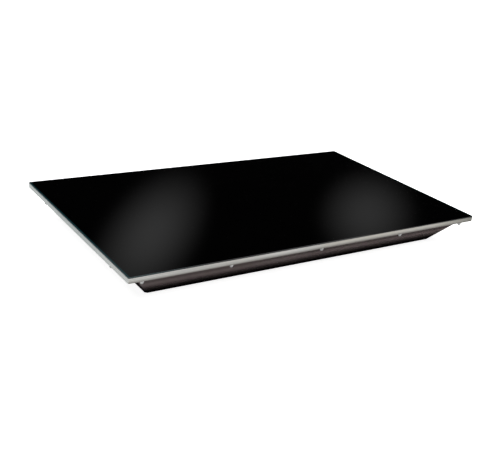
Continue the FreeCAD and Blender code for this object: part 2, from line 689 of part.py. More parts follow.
def frustum(name, low, high, half_x, half_y, turn=0):
    """Wedge with a level rectangle at its foot and its top, given as (at low, at high) halves."""
    wedge = doc.addObject("Part::Wedge", name)
    wedge.Placement = Placement(Vector(), Rotation(UP, turn) * Rotation(RIGHT, 90))
    bind(wedge, Ymin=low, Ymax=high,
         Xmin=f"-({half_x[0]})", Xmax=half_x[0], Zmin=f"-({half_y[0]})", Zmax=half_y[0],
         X2min=f"-({half_x[1]})", X2max=half_x[1], Z2min=f"-({half_y[1]})", Z2max=half_y[1])
    return wedge


def pan_hull(name, low, high, thinner):
    """Faceted hull of the pan between two heights: its outer side, or inner if thinner is 1."""
    half_x, half_y, across = [], [], []
    for z in (low, high):
        x = f"(Level.floor_half_x + Level.lean_x * ({z}) - {thinner} * Level.wall_x)"
        y = f"(Level.floor_half_y + Level.lean_y * ({z}) - {thinner} * Level.wall_y)"
        facet = (f"(Size.pan_foot_facet + Level.facet_growth * ({z})"
                 f" + {thinner} * (Level.wall_facet - Level.wall_x - Level.wall_y))")
        half_x.append(x)
        half_y.append(y)
        across.append(f"({x} + {y} - {facet}) / sqrt(2)")
    hull = doc.addObject("Part::MultiCommon", name)
    hull.Shapes = [frustum(name + "_walls", low, high, half_x, half_y),
                   frustum(name + "_facets", low, high, across, across, 45)]
    return hull


def bay_opening(name, grow="0"):
    """Block through the pan's rear wall, as wide as the inside of the control bay."""
    side = f"Size.pan_sheet + ({grow})"
    return box(name, (f"Size.bay_left + {side}", f"Level.bay_right - ({side})"),
               ("Level.bay_inner", "Level.panel_back"),
               (f"Size.bay_floor + {side}", f"Level.bay_top - ({side})"))


def make_lower_pan():
    """Folded pan: flat floor, leaning walls with faceted corners and a flange for the studs."""
    flange = new_body("flange_body")
    edge = new_sketch(flange, "flange_outline", "XY_Plane", "Level.flange_under")
    rounded_rectangle(edge, "Level.half_width - Size.flange_setback",
                      "Level.half_depth - Size.flange_setback", "Size.flange_corner")
    for x, y in stud_places():
        circle(edge, x, y, "Size.stud_hole_radius")
    pad(flange, "flange", edge, "Size.pan_sheet")
    blank = cut("pan_blank",
                fuse("pan_outside", pan_hull("pan_skin", "0", "Level.flange_under", 0), flange),
                pan_hull("pan_hollow", "Size.pan_sheet", "Level.ledge_under", 1))
    doc.recompute()
    body = new_body("pan_body")
    body.BaseFeature = blank
    doc.recompute()
    base = body.Tip
    slope = number("Level.flange_under") / 2
    sheet = number("Size.pan_sheet")

    def is_fold(edge, low):
        """Whether an edge is a fold of the floor at a height, or runs up a corner from it."""
        box_ = edge.BoundBox
        return abs(box_.ZMin - low) < NEAR and (is_level(edge) or box_.ZLength > slope)

    for name, low, radius in (("outer_folds", 0, "Size.fold_radius"),
                              ("inner_folds", sheet, "Size.fold_radius - Size.pan_sheet")):
        folds = edges_of(base, lambda edge: is_fold(edge, low))
        rounding = body.newObject("PartDesign::Fillet", name)
        rounding.Base = (base, folds)
        bind(rounding, Radius=radius)
        doc.recompute()
        base = rounding
    return subpart(cut("pan_with_opening", body, bay_opening("pan_opening")), "lower_pan")


# ---------------------------------------------------------------- heater and insulation

def make_heater():
    """Foil under the glass with a heating cable laid to and fro across it."""
    body = new_body("foil_body")
    outline = new_sketch(body, "foil_outline", "XY_Plane", "Level.foil_under")
    rounded_rectangle(outline, "Level.half_width - Size.heater_inset",
                      "Level.half_depth - Size.heater_inset", "Size.foil_corner")
    pad(body, "foil_sheet", outline, "Size.foil_thickness")
    subpart(body, "heater_foil")

    runs = int(number("Size.cable_runs"))
    turn_y = "(Level.half_depth - Size.heater_inset - Size.cable_edge_gap)"
    points = []
    for run in range(runs):
        x = f"({run} - (Size.cable_runs - 1) / 2) * Level.cable_pitch"
        ends = (turn_y, "-" + turn_y) if run % 2 == 0 else ("-" + turn_y, turn_y)
        points += [(x, y, "Level.cable_axis") for y in ends]
    subpart(tube("cable_tube", points, "Size.cable_radius",
                 "(Level.cable_pitch - Size.cable_turn_flat) / 2"), "heating_cable")

    rear_of_bodies = "Level.panel_back - Size.limiter_deep"
    drop_x = "Level.limiter_x + Size.lead_aside"
    drop_end = "Level.controls_z + Size.wire_spread"
    right = [("Level.cable_half", turn_y, "Level.cable_axis"),
             ("Level.cable_half", "Level.lead_line", "Level.cable_axis"),
             (drop_x, "Level.lead_line", "Level.cable_axis"),
             (drop_x, "Level.lead_line", drop_end),
             (drop_x, rear_of_bodies, drop_end)]
    over_block = "Level.block_top + Size.lead_rise"
    left = [("-Level.cable_half", turn_y, "Level.cable_axis"),
            ("-Level.cable_half", "Level.lead_line", "Level.cable_axis"),
            ("Level.block_x", "Level.lead_line", "Level.cable_axis"),
            ("Level.block_x", "Level.lead_line", over_block),
            ("Level.block_x", "Level.block_y", over_block),
            ("Level.block_x", "Level.block_y", "Level.block_top")]
    leads = [tube(f"heater_lead_{side}", route, "Size.lead_radius", "Size.lead_bend")
             for side, route in (("right", right), ("left", left))]
    subpart(group("heater_lead_pair", leads), "heater_leads")


def notch(name, low, high):
    """Block that cuts back the rear edge of the insulation or its plate over the controls."""
    return box(name, ("Size.bay_left - Size.notch_margin", "Level.bay_right + Size.notch_margin"),
               ("Level.blanket_half_y - Size.notch_depth", "Level.half_depth"), (low, high))


def tapping_places():
    """Screws of the retainer plate: three on each channel."""
    return [(x, y) for x in ("-Level.channel_x", "0", "Level.channel_x")
            for y in ("-Level.tapping_y", "0", "Level.tapping_y")]


def make_insulation():
    """Blanket under the heater, with grooves for the sensing bulbs and wells for screw heads."""
    span_x = ("-Level.blanket_half_x", "Level.blanket_half_x")
    span_y = ("-Level.blanket_half_y", "Level.blanket_half_y")
    blanket = box("blanket_blank", span_x, span_y, ("Level.blanket_under", "Level.blanket_top"))
    tools = [notch("blanket_notch", "Level.blanket_under", "Level.blanket_top")]
    for name, x in (("thermostat", "Level.thermostat_x"), ("limiter", "Level.limiter_x")):
        tools.append(box(f"{name}_groove",
                         (f"{x} - Size.bulb_groove / 2", f"{x} + Size.bulb_groove / 2"),
                         ("Level.bulb_end - Size.bulb_length - Size.bulb_radius",
                          "Level.half_depth"),
                         ("Level.bulb_axis - Size.bulb_radius - Size.bulb_seat_gap",
                          "Level.blanket_top")))
    for index, (x, y) in enumerate(tapping_places()):
        tools.append(rod(f"head_well_{index + 1}", "Size.tapping_head + Size.thread_play",
                         "Size.tapping_head_height + Size.thread_play", x, y,
                         "Level.blanket_under"))
    subpart(cut("blanket", blanket, *tools), "insulation_blanket")

    plate = box("plate_blank", span_x, span_y, ("Size.plate_height", "Level.blanket_under"))
    tools = [notch("plate_notch", "Size.plate_height", "Level.blanket_under")]
    tools += [rod(f"plate_hole_{index + 1}", "Size.tapping_radius + Size.thread_play",
                  "Size.plate_sheet", x, y, "Size.plate_height")
              for index, (x, y) in enumerate(tapping_places())]
    subpart(cut("plate", plate, *tools), "retainer_plate")


def make_channels():
    """Hat channels from front to rear that carry the retainer plate, with the plate's screws."""
    body = new_body("channel_body")
    sketch = new_sketch(body, "channel_section", "XZ_Plane")
    crown = "Size.channel_top / 2"
    toe = "(Size.channel_top / 2 + Size.channel_foot)"
    sheet = "Size.pan_sheet"
    floor = "Level.pan_floor"
    right = [(toe, floor), (toe, f"{floor} + {sheet}"), (crown, f"{floor} + {sheet}"),
             (crown, "Size.plate_height")]
    inside = [(f"{crown} - {sheet}", f"Size.plate_height - {sheet}"),
              (f"{crown} - {sheet}", floor)]
    mirrored = [(f"-({x})", z) for x, z in reversed(right)]
    mirrored_inside = [(f"-({x})", z) for x, z in reversed(inside)]
    polygon(sketch, right + mirrored + mirrored_inside + inside)
    rail = pad(body, "channel_rail", sketch, "2 * Level.channel_half")
    rail.Midplane = True
    holes = new_sketch(body, "channel_holes", "XY_Plane", "Size.plate_height")
    for y in ("-Level.tapping_y", "0", "Level.tapping_y"):
        circle(holes, "0", y, "Size.tapping_radius + Size.thread_play")
    pocket(body, "channel_screw_holes", holes, sheet)
    spots = [(x, "0") for x in ("-Level.channel_x", "0", "Level.channel_x")]
    subpart(copies("channel_set", body, spots), "support_channels")

    screw = fuse("tapping_master",
                 rod("tapping_shank", "Size.tapping_radius", "Size.tapping_length",
                     z="-Size.tapping_length"),
                 rod("tapping_cap", "Size.tapping_head", "Size.tapping_head_height"))
    subpart(copies("tapping_set", screw,
                   [(x, y, "Level.blanket_under") for x, y in tapping_places()]),
            "retainer_screws")


# ---------------------------------------------------------------- control bay and panel

def panel_screw_places():
    """Two screws on each side of the panel."""
    return [(x, "Level.panel_face", z)
            for x in ("Size.bay_left + Size.panel_screw_edge",
                      "Level.bay_right - Size.panel_screw_edge")
            for z in ("Size.bay_floor + Size.panel_screw_margin",
                      "Level.bay_top - Size.panel_screw_margin")]


def make_control_bay():
    """Sheet bay on the rear wall: a floor and two cheeks, cut to the slope of the wall."""
    shell = box("bay_blank", ("Size.bay_left", "Level.bay_right"),
                ("Level.bay_inner", "Level.panel_back"), ("Size.bay_floor", "Level.bay_top"))
    room = box("bay_room", ("Size.bay_left + Size.pan_sheet", "Level.bay_right - Size.pan_sheet"),
               ("Level.bay_inner", "Level.panel_back - Size.pan_sheet"),
               ("Size.bay_floor + Size.pan_sheet", "Size.tray_height"))
    mouth = box("bay_mouth", ("Size.bay_left + Size.bay_lip", "Level.bay_right - Size.bay_lip"),
                ("Level.panel_back - 2 * Size.pan_sheet", "Level.panel_back + Size.pan_sheet"),
                ("Size.bay_floor + Size.pan_sheet", "Size.tray_height"))
    tools = [room, mouth, pan_hull("bay_fit", "0", "Level.flange_under", 0)]
    for slot in range(int(number("Size.vent_slots"))):
        middle = f"Level.panel_centre + ({slot} - (Size.vent_slots - 1) / 2) * Size.vent_pitch"
        tools.append(block(f"vent_{slot + 1}", middle,
                           "(Level.panel_back - Size.vent_inset - Size.vent_length / 2)",
                           "Size.bay_floor", "Size.vent_width", "Size.vent_length",
                           "Size.pan_sheet"))
    for index, (x, y, z) in enumerate(panel_screw_places()):
        tools.append(rod(f"lip_hole_{index + 1}", "Size.panel_screw_radius + Size.thread_play",
                         "Size.panel_sheet + 2 * Size.pan_sheet", x, y, z, -REAR))
    subpart(cut("bay_shell", shell, *tools), "control_bay")


def make_control_panel():
    """Face plate of the bay with its openings, and the screws that hold it."""
    body = new_body("panel_body")
    outline = new_sketch(body, "panel_outline", "XZ_Plane")
    rounded_rectangle(outline, "Level.bay_width / 2", "Level.panel_height / 2",
                      "Size.panel_corner")
    pad(body, "panel_plate", outline, "Size.panel_sheet")
    place(body, "Level.panel_centre", "Level.panel_face", "Level.controls_z")
    play = "Size.hole_play"
    reach = "3 * Size.panel_sheet"
    front = "Level.panel_face + Size.panel_sheet"
    tools = [rod("thermostat_hole", f"Size.bushing_radius + {play}", reach,
                 "Level.thermostat_x", front, "Level.controls_z", -REAR),
             rod("limiter_hole", f"Size.bushing_radius + {play}", reach,
                 "Level.limiter_x", front, "Level.controls_z", -REAR),
             rod("gland_hole", f"Size.gland_thread_radius + {play}", reach,
                 "Level.gland_x", front, "Level.gland_z", -REAR),
             box("switch_window",
                 (f"Level.rocker_x - Size.switch_width / 2 - {play}",
                  f"Level.rocker_x + Size.switch_width / 2 + {play}"),
                 ("Level.panel_back - Size.panel_sheet", front),
                 (f"Level.controls_z - Size.switch_tall / 2 - {play}",
                  f"Level.controls_z + Size.switch_tall / 2 + {play}"))]
    for index, (x, y, z) in enumerate(panel_screw_places()):
        tools.append(rod(f"panel_hole_{index + 1}",
                         "Size.panel_screw_radius + Size.thread_play", reach,
                         x, front, z, -REAR))
    subpart(cut("panel", body, *tools), "control_panel")

    screw = fuse("panel_screw_master",
                 rod("panel_screw_shank", "Size.panel_screw_radius", "Size.panel_screw_length",
                     direction=-REAR),
                 rod("panel_screw_cap", "Size.panel_screw_head", "Size.panel_screw_head_height",
                     direction=REAR))
    subpart(copies("panel_screw_set", screw, panel_screw_places()), "panel_screws")


# ---------------------------------------------------------------- thermostat and knob

def make_thermostat():
    """Thermostat behind the panel, its nut and the shaft that the knob turns."""
    x, z = "Level.thermostat_x", "Level.controls_z"
    bore = "Size.shaft_radius + Size.running_play"
    body = cut("thermostat",
               fuse("thermostat_blank",
                    block("thermostat_case", x,
                          "(Level.panel_back - Size.thermostat_deep / 2)",
                          f"({z} - Size.thermostat_tall / 2)", "Size.thermostat_width",
                          "Size.thermostat_deep", "Size.thermostat_tall"),
                    rod("thermostat_bush", "Size.bushing_radius", "Size.thermostat_bushing",
                        x, "Level.panel_back", z, REAR)),
               rod("thermostat_bore", bore, "Size.shaft_depth + Size.thermostat_bushing",
                   x, "Level.panel_back - Size.shaft_depth", z, REAR))
    subpart(body, "thermostat_body")
    nut = cut("thermostat_nut_cut",
              hexagon("thermostat_nut_hex", "Size.control_nut_flats", "Size.control_nut_height",
                      x, "Level.dial_face", z, REAR),
              rod("thermostat_nut_bore", "Size.bushing_radius + Size.thread_play",
                  "Size.control_nut_height", x, "Level.dial_face", z, REAR))
    subpart(nut, "thermostat_nut")
    subpart(rod("shaft_rod", "Size.shaft_radius", "Size.shaft_length", x,
                "Level.panel_back - Size.shaft_depth + Size.running_play", z, REAR),
            "thermostat_shaft")
    dial = cut("dial",
               rod("dial_disc", "Size.dial_radius", "Size.dial_sheet", x, "Level.panel_face", z,
                   REAR),
               rod("dial_hole", "Size.bushing_radius + Size.hole_play", "Size.dial_sheet", x,
                   "Level.panel_face", z, REAR))
    subpart(dial, "dial_plate")


def make_knob():
    """Turned knob with a skirt, finger flutes, a recess over the nut and an inlaid pointer."""
    body = new_body("knob_body")
    profile = new_sketch(body, "knob_profile", "XY_Plane")
    bore_end = ("Level.panel_back - Size.shaft_depth + Size.running_play + Size.shaft_length"
                " - Level.knob_seat")
    polygon(profile, (("Size.knob_recess_radius", "0"), ("Size.knob_radius", "0"),
                      ("Size.knob_radius", "Size.knob_skirt_edge"),
                      ("Size.knob_grip_radius", "Size.knob_skirt"),
                      ("Size.knob_face_radius", "Size.knob_height - Size.knob_bevel"),
                      ("Size.knob_face_radius - Size.knob_bevel", "Size.knob_height"),
                      ("0", "Size.knob_height"), ("0", bore_end),
                      ("Size.shaft_radius", bore_end), ("Size.shaft_radius", "Size.knob_recess"),
                      ("Size.knob_recess_radius", "Size.knob_recess")))
    turned = body.newObject("PartDesign::Revolution", "knob_turned")
    turned.Profile = profile
    turned.ReferenceAxis = (profile, ["V_Axis"])
    turned.Angle = 360
    doc.recompute()
    flute_circle = new_sketch(body, "knob_flute_circle", "XZ_Plane", "-Size.knob_height")
    circle(flute_circle, "Size.knob_grip_radius + Size.knob_flute_offset", "0",
           "Size.knob_flute_radius")
    groove = body.newObject("PartDesign::Pocket", "knob_flute")
    groove.Profile = flute_circle
    groove.Reversed = True
    bind(groove, Length="Size.knob_height - Size.knob_skirt")
    ring = body.newObject("PartDesign::PolarPattern", "knob_flutes")
    ring.Originals = [groove]
    ring.Axis = (profile, ["V_Axis"])
    ring.Angle = 360
    bind(ring, Occurrences="Size.knob_flutes")
    body.Tip = ring
    x, z = "Level.thermostat_x", "Level.controls_z"
    place(body, x, "Level.knob_seat", z)
    face = "Level.knob_seat + Size.knob_height"
    tip = f"{z} + Size.knob_face_radius - Size.knob_bevel"

    def pointer_block(name):
        """Bar from near the middle of the face to its upper edge."""
        return box(name, (f"{x} - Size.pointer_width / 2", f"{x} + Size.pointer_width / 2"),
                   (f"{face} - Size.pointer_depth", f"{face} + Size.pointer_proud"),
                   (f"{tip} - Size.pointer_length", tip))

    subpart(cut("knob", body, pointer_block("pointer_slot")), "control_knob")
    subpart(pointer_block("pointer_bar"), "knob_pointer")


# ---------------------------------------------------------------- rocker switch

def make_rocker_switch():
    """Switch body with its bezel, the pivot pin and the rocker, at rest in its off position."""
    x, z = "Level.rocker_x", "Level.controls_z"
    housing = cut("switch",
                  fuse("switch_blank",
                       block("switch_case", x,
                             "(Level.panel_face - (Size.switch_deep + Size.panel_sheet) / 2)",
                             f"({z} - Size.switch_tall / 2)", "Size.switch_width",
                             "Size.switch_deep + Size.panel_sheet", "Size.switch_tall"),
                       block("switch_bezel", x, "(Level.panel_face + Size.bezel_sheet / 2)",
                             f"({z} - Size.bezel_tall / 2)", "Size.bezel_width",
                             "Size.bezel_sheet", "Size.bezel_tall")),
                  block("switch_well", x, "(Level.bezel_face - Size.well_depth / 2)",
                        f"({z} - Size.well_tall / 2)", "Size.well_width", "Size.well_depth",
                        "Size.well_tall"),
                  rod("switch_pin_bore", "Size.pin_radius", "Size.pin_length",
                      f"{x} - Size.pin_length / 2", "Level.pivot_y", z, RIGHT))
    subpart(housing, "rocker_housing")
    subpart(rod("pin_rod", "Size.pin_radius", "Size.pin_length",
                f"{x} - Size.pin_length / 2", "Level.pivot_y", z, RIGHT), "rocker_pin")

    body = new_body("rocker_body")
    section = new_sketch(body, "rocker_section", "YZ_Plane")
    heel = "(Size.rocker_half_length - Size.rocker_undercut)"
    polygon(section, (("Size.rocker_crest", "-Size.rocker_half_length"),
                      ("Size.rocker_valley", "0"),
                      ("Size.rocker_crest", "Size.rocker_half_length"),
                      ("-Size.rocker_heel", heel),
                      ("-Size.rocker_keel", "Size.rocker_keel_half"),
                      ("-Size.rocker_keel", "-Size.rocker_keel_half"),
                      ("-Size.rocker_heel", f"-{heel}")))
    bar = pad(body, "rocker_bar", section, "Size.well_width - 2 * Size.rocker_side_gap")
    bar.Midplane = True
    bore = new_sketch(body, "rocker_bore_circle", "YZ_Plane", "Size.well_width")
    circle(bore, "0", "0", "Size.pin_radius + Size.running_play")
    pocket(body, "rocker_bore", bore, "2 * Size.well_width")
    body.Placement = Placement(Vector(), Rotation(-RIGHT, number("Size.rocker_tilt")))
    body.setExpression("Placement.Rotation.Angle", "Size.rocker_tilt")
    place(body, x, "Level.pivot_y", z)
    subpart(body, "power_rocker")


# ---------------------------------------------------------------- high limit

def make_limiter():
    """High limit behind the panel with its nut, its reset button and the button's spring."""
    x, z = "Level.limiter_x", "Level.controls_z"
    front = "Level.panel_back + Size.limiter_bushing"
    body = cut("limiter",
               fuse("limiter_blank",
                    block("limiter_case", x, "(Level.panel_back - Size.limiter_deep / 2)",
                          f"({z} - Size.limiter_side / 2)", "Size.limiter_side",
                          "Size.limiter_deep", "Size.limiter_side"),
                    rod("limiter_bush", "Size.bushing_radius", "Size.limiter_bushing", x,
                        "Level.panel_back", z, REAR)),
               rod("button_bore", "Size.button_radius + Size.running_play",
                   f"{front} - Level.chamber_front + Size.collar_gap", x,
                   "Level.chamber_front - Size.collar_gap", z, REAR),
               rod("button_room", "Size.button_chamber_radius", "Level.chamber_depth", x,
                   "Level.chamber_back", z, REAR))
    subpart(body, "limiter_body")
    nut = cut("limiter_nut_cut",
              hexagon("limiter_nut_hex", "Size.control_nut_flats", "Size.control_nut_height", x,
                      "Level.panel_face", z, REAR),
              rod("limiter_nut_bore", "Size.bushing_radius + Size.thread_play",
                  "Size.control_nut_height", x, "Level.panel_face", z, REAR))
    subpart(nut, "limiter_nut")
    button = fuse("button",
                  rod("button_stem", "Size.button_radius",
                      f"{front} + Size.button_proud - Level.collar_front", x,
                      "Level.collar_front", z, REAR),
                  rod("button_collar", "Size.button_collar_radius", "Size.button_collar", x,
                      "Level.collar_front - Size.button_collar", z, REAR))
    subpart(button, "reset_button")

    wire = number("Size.spring_wire")
    radius = number("Size.spring_radius")
    back = number("Level.chamber_back") + wire
    rise = number("Level.collar_front - Size.button_collar") - back - wire
    turns = number("Size.spring_turns")
    helix = Part.makeHelix(rise / turns, rise, radius)
    section = Part.Wire(Part.Circle(Vector(radius, 0, 0), REAR, wire).toShape())
    spring = doc.addObject("Part::Feature", "spring")
    spring.Shape = Part.Wire(helix.Edges).makePipeShell([section], True, True)
    spring.Placement = Placement(Vector(number(x), back, number(z)), Rotation(UP, REAR))
    subpart(spring, "reset_spring")


def make_bulbs():
    """Sensing bulbs in the grooves of the insulation, joined to their bodies by capillaries."""
    for name, x, body_tall, body_deep in (
            ("thermostat", "Level.thermostat_x", "Size.thermostat_tall", "Size.thermostat_deep"),
            ("limiter", "Level.limiter_x", "Size.limiter_side", "Size.limiter_deep")):
        bulb = rod(f"{name}_bulb_rod", "Size.bulb_radius", "Size.bulb_length", x,
                   "Level.bulb_end - Size.bulb_length", "Level.bulb_axis", REAR)
        subpart(bulb, f"{name}_bulb")
        drop_y = f"Level.panel_back - {body_deep} / 2"
        capillary = tube(f"{name}_capillary_tube",
                         [(x, "Level.bulb_end", "Level.bulb_axis"),
                          (x, drop_y, "Level.bulb_axis"),
                          (x, drop_y, f"Level.controls_z + {body_tall} / 2")],
                         "Size.capillary_radius", "Size.capillary_bend")
        subpart(capillary, f"{name}_capillary")


# ---------------------------------------------------------------- cord gland

def make_gland():
    """Cord gland in the panel: body, seal, dome nut and locknut, all with an open bore."""
    x, z = "Level.gland_x", "Level.gland_z"
    face = "Level.panel_face"
    thread = "Size.gland_thread_radius"
    inner_end = f"{face} - Size.gland_thread"
    collar_end = f"{face} + Size.gland_collar"
    spigot = "Size.gland_spigot"
    body = cut("gland",
               fuse("gland_blank",
                    rod("gland_screw", thread, "Size.gland_thread + Size.gland_collar", x,
                        inner_end, z, REAR),
                    hexagon("gland_hex", "Size.gland_flats", "Size.gland_collar", x, face, z,
                            REAR),
                    rod("gland_spigot", thread, spigot, x, collar_end, z, REAR)),
               rod("gland_bore", "Size.gland_bore_radius",
                   f"Size.gland_thread + Size.gland_collar + {spigot}", x, inner_end, z, REAR))
    subpart(body, "gland_body")
    seal = cut("gland_ring",
               rod("gland_ring_blank", "Size.gland_bore_radius", "Size.seal_length", x,
                   f"{collar_end} + {spigot} - Size.seal_length", z, REAR),
               rod("gland_ring_bore", "Size.cord_bore_radius", "Size.seal_length", x,
                   f"{collar_end} + {spigot} - Size.seal_length", z, REAR))
    subpart(seal, "gland_seal")
    dome = cut("gland_dome",
               fuse("gland_dome_blank",
                    rod("gland_dome_round", "Size.gland_dome_radius", "Size.gland_dome", x,
                        collar_end, z, REAR),
                    hexagon("gland_dome_hex", "Size.gland_flats", spigot, x, collar_end, z,
                            REAR)),
               rod("gland_dome_room", f"{thread} + Size.thread_play", spigot, x, collar_end, z,
                   REAR),
               rod("gland_dome_mouth", "Size.cord_bore_radius", "Size.gland_dome", x, collar_end,
                   z, REAR))
    subpart(dome, "gland_dome_nut")
    locknut = cut("gland_locknut_cut",
                  hexagon("gland_locknut_hex", "Size.gland_flats", "Size.gland_locknut", x,
                          "Level.panel_back", z, -REAR),
                  rod("gland_locknut_bore", f"{thread} + Size.thread_play", "Size.gland_locknut",
                      x, "Level.panel_back", z, -REAR))
    subpart(locknut, "gland_locknut")


# ---------------------------------------------------------------- terminals and wiring

def make_terminals():
    """Terminal block with its clamping screws, and the earth stud with its nuts."""
    ways = [(f"Level.block_x + {way} * Size.way_pitch", "Level.block_y") for way in (-1, 0, 1)]
    blank = block("block_case", "Level.block_x", "Level.block_y", "Level.pan_floor",
                  "Size.block_width", "Size.block_deep", "Size.block_tall")
    front = "Level.block_y - Size.way_offset"
    wells = [rod(f"block_well_{index + 1}", "Size.way_radius", "Size.way_depth", x, front,
                 "Level.block_top - Size.way_depth")
             for index, (x, _) in enumerate(ways)]
    subpart(cut("terminal_case", blank, *wells), "terminal_block")
    screw = rod("clamp_master", "Size.clamp_screw_radius", "Size.clamp_screw_height")
    subpart(copies("clamp_set", screw,
                   [(x, front, "Level.block_top - Size.way_depth") for x, _ in ways]),
            "terminal_screws")
    x, y = "Level.earth_x", "Level.block_y"
    subpart(rod("earth_rod", "Size.earth_radius", "Size.earth_height", x, y, "Level.pan_floor"),
            "earth_stud")
    nut = cut("earth_nut_cut",
              hexagon("earth_nut_hex", "Size.earth_nut_flats", "Size.earth_nut_height"),
              rod("earth_nut_bore", "Size.earth_radius + Size.thread_play",
                  "Size.earth_nut_height"))
    lower = "Level.pan_floor"
    subpart(copies("earth_nut_set", nut,
                   [(x, y, lower), (x, y, f"{lower} + 2 * Size.earth_nut_height")]),
            "earth_nuts")


def make_wiring():
    """Wires between terminals, switch, thermostat, limiter and earth stud."""
    lower = "Level.controls_z - Size.wire_spread"
    upper = "Level.controls_z + Size.wire_spread"
    aisle = "Level.lead_line - Size.wire_spread"
    switch_back = "Level.panel_face - Size.panel_sheet - Size.switch_deep"
    thermostat_back = "Level.panel_back - Size.thermostat_deep"
    limiter_back = "Level.panel_back - Size.limiter_deep"
    rear = "Level.block_y + Size.way_offset"
    top = "Level.block_top"
    over = "Level.block_top + Size.wire_rise"
    left_way = "Level.block_x - Size.way_pitch"
    right_way = "Level.block_x + Size.way_pitch"
    near = "Level.rocker_x - Size.wire_spread"
    far = "Level.rocker_x + Size.wire_spread"
    first = "Level.thermostat_x - 2 * Size.wire_spread"
    second = "Level.thermostat_x + 2 * Size.wire_spread"
    side = "Level.limiter_x - Size.wire_spread"
    routes = (
        [(left_way, rear, top), (left_way, rear, over), (left_way, aisle, over),
         (near, aisle, over), (near, aisle, upper), (near, switch_back, upper)],
        [(far, switch_back, lower), (far, aisle, lower), (first, aisle, lower),
         (first, thermostat_back, lower)],
        [(second, thermostat_back, lower), (second, aisle, lower), (side, aisle, lower),
         (side, limiter_back, lower)],
        [(right_way, "Level.block_y", top), (right_way, "Level.block_y", over),
         ("Level.earth_x", "Level.block_y", over),
         ("Level.earth_x", "Level.block_y", "Level.pan_floor + Size.earth_height")],
    )
    wires = [tube(f"wire_{index + 1}", route, "Size.wire_radius", "Size.wire_bend")
             for index, route in enumerate(routes)]
    subpart(group("wire_set", wires), "internal_wiring")


# ---------------------------------------------------------------- assembly, checks and export

def main():
    """Build every sub-part, check it and write its STEP file."""
    make_glass_top()
    make_seals()
    make_rim_frame()
    make_fasteners()
    make_lower_pan()
    make_heater()
    make_insulation()
    make_channels()
    make_control_bay()
    make_control_panel()
    make_thermostat()
    make_knob()
    make_rocker_switch()
    make_limiter()
    make_bulbs()
    make_gland()
    make_terminals()
    make_wiring()
    doc.recompute()

    faults = [f"{thing.Label}: {thing.State}" for thing in doc.Objects
              if {"Invalid", "Error"} & set(thing.State)]
    faults += [f"{part.Label}: bad shape" for part in subparts
               if part.Shape.isNull() or not part.Shape.isValid() or not part.Shape.Solids]
    if faults:
        raise RuntimeError("; ".join(faults))
    os.makedirs("parts", exist_ok=True)
    for part in subparts:
        part.Shape.exportStep(f"parts/{part.Label}.step")
        bounds = part.Shape.BoundBox
        print(f"{part.Label:22s} solids {len(part.Shape.Solids):2d}  volume {part.Shape.Volume:11.1f}"
              f"  x {bounds.XMin:7.1f} {bounds.XMax:7.1f}  y {bounds.YMin:7.1f} {bounds.YMax:7.1f}"
              f"  z {bounds.ZMin:6.1f} {bounds.ZMax:6.1f}")


main()
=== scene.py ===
"""Finish, small forms and studio of an electric food warmer tray.

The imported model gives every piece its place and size. This script dresses each carried node
with a procedural material, and adds modelled surfaces where the real piece has softer or finer
forms than its solid: nuts, screws, knob, rocker, button, spring, cord gland and insulation.
Shapes are worked out in millimetres and become metres when a mesh is made.
"""

import json
import logging
import math
from dataclasses import dataclass, field
from enum import Enum, StrEnum, auto
from typing import Any, ClassVar, Iterable, Sequence

import bmesh
import bpy
import numpy as np
from mathutils import Matrix, Vector

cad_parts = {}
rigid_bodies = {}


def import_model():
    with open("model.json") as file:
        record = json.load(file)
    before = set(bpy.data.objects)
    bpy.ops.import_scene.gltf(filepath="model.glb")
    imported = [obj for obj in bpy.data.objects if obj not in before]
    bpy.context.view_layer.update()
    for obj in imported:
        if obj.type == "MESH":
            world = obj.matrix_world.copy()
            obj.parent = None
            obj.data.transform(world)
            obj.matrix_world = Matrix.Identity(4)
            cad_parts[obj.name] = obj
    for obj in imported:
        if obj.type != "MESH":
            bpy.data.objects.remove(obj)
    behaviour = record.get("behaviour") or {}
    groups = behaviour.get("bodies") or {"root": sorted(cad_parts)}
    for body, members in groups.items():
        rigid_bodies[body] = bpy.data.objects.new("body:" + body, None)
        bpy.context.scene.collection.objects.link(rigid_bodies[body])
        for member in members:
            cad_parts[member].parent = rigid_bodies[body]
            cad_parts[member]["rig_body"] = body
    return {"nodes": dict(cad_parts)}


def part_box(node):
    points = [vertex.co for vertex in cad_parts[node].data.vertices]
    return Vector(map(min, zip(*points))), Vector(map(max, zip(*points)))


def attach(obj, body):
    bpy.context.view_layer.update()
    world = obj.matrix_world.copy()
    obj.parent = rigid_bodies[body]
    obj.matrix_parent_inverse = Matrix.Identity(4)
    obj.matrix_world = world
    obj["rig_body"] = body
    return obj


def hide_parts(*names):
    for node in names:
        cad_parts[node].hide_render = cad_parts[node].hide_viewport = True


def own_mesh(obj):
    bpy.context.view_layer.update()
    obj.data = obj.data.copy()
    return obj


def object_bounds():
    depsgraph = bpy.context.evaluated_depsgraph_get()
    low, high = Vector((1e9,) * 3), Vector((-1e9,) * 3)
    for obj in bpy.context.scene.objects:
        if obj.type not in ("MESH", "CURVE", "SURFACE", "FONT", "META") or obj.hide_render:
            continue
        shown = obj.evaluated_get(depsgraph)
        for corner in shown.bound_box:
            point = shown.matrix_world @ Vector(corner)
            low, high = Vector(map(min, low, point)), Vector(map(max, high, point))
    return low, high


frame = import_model()
CAD_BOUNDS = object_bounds()
HALF_WIDTH, HALF_DEPTH = CAD_BOUNDS[1][:2]
MITRE = HALF_WIDTH - HALF_DEPTH

LOG = logging.getLogger("warmer_tray")
MM = 0.001
FULL_TURN = 2 * math.pi
WELD = 2e-6
FLAT_FOLD = math.radians(1)
CHAMFER = math.tan(math.radians(30))
BUSHING_BORE = 4.55
WHITE = (1.0, 1.0, 1.0, 1.0)

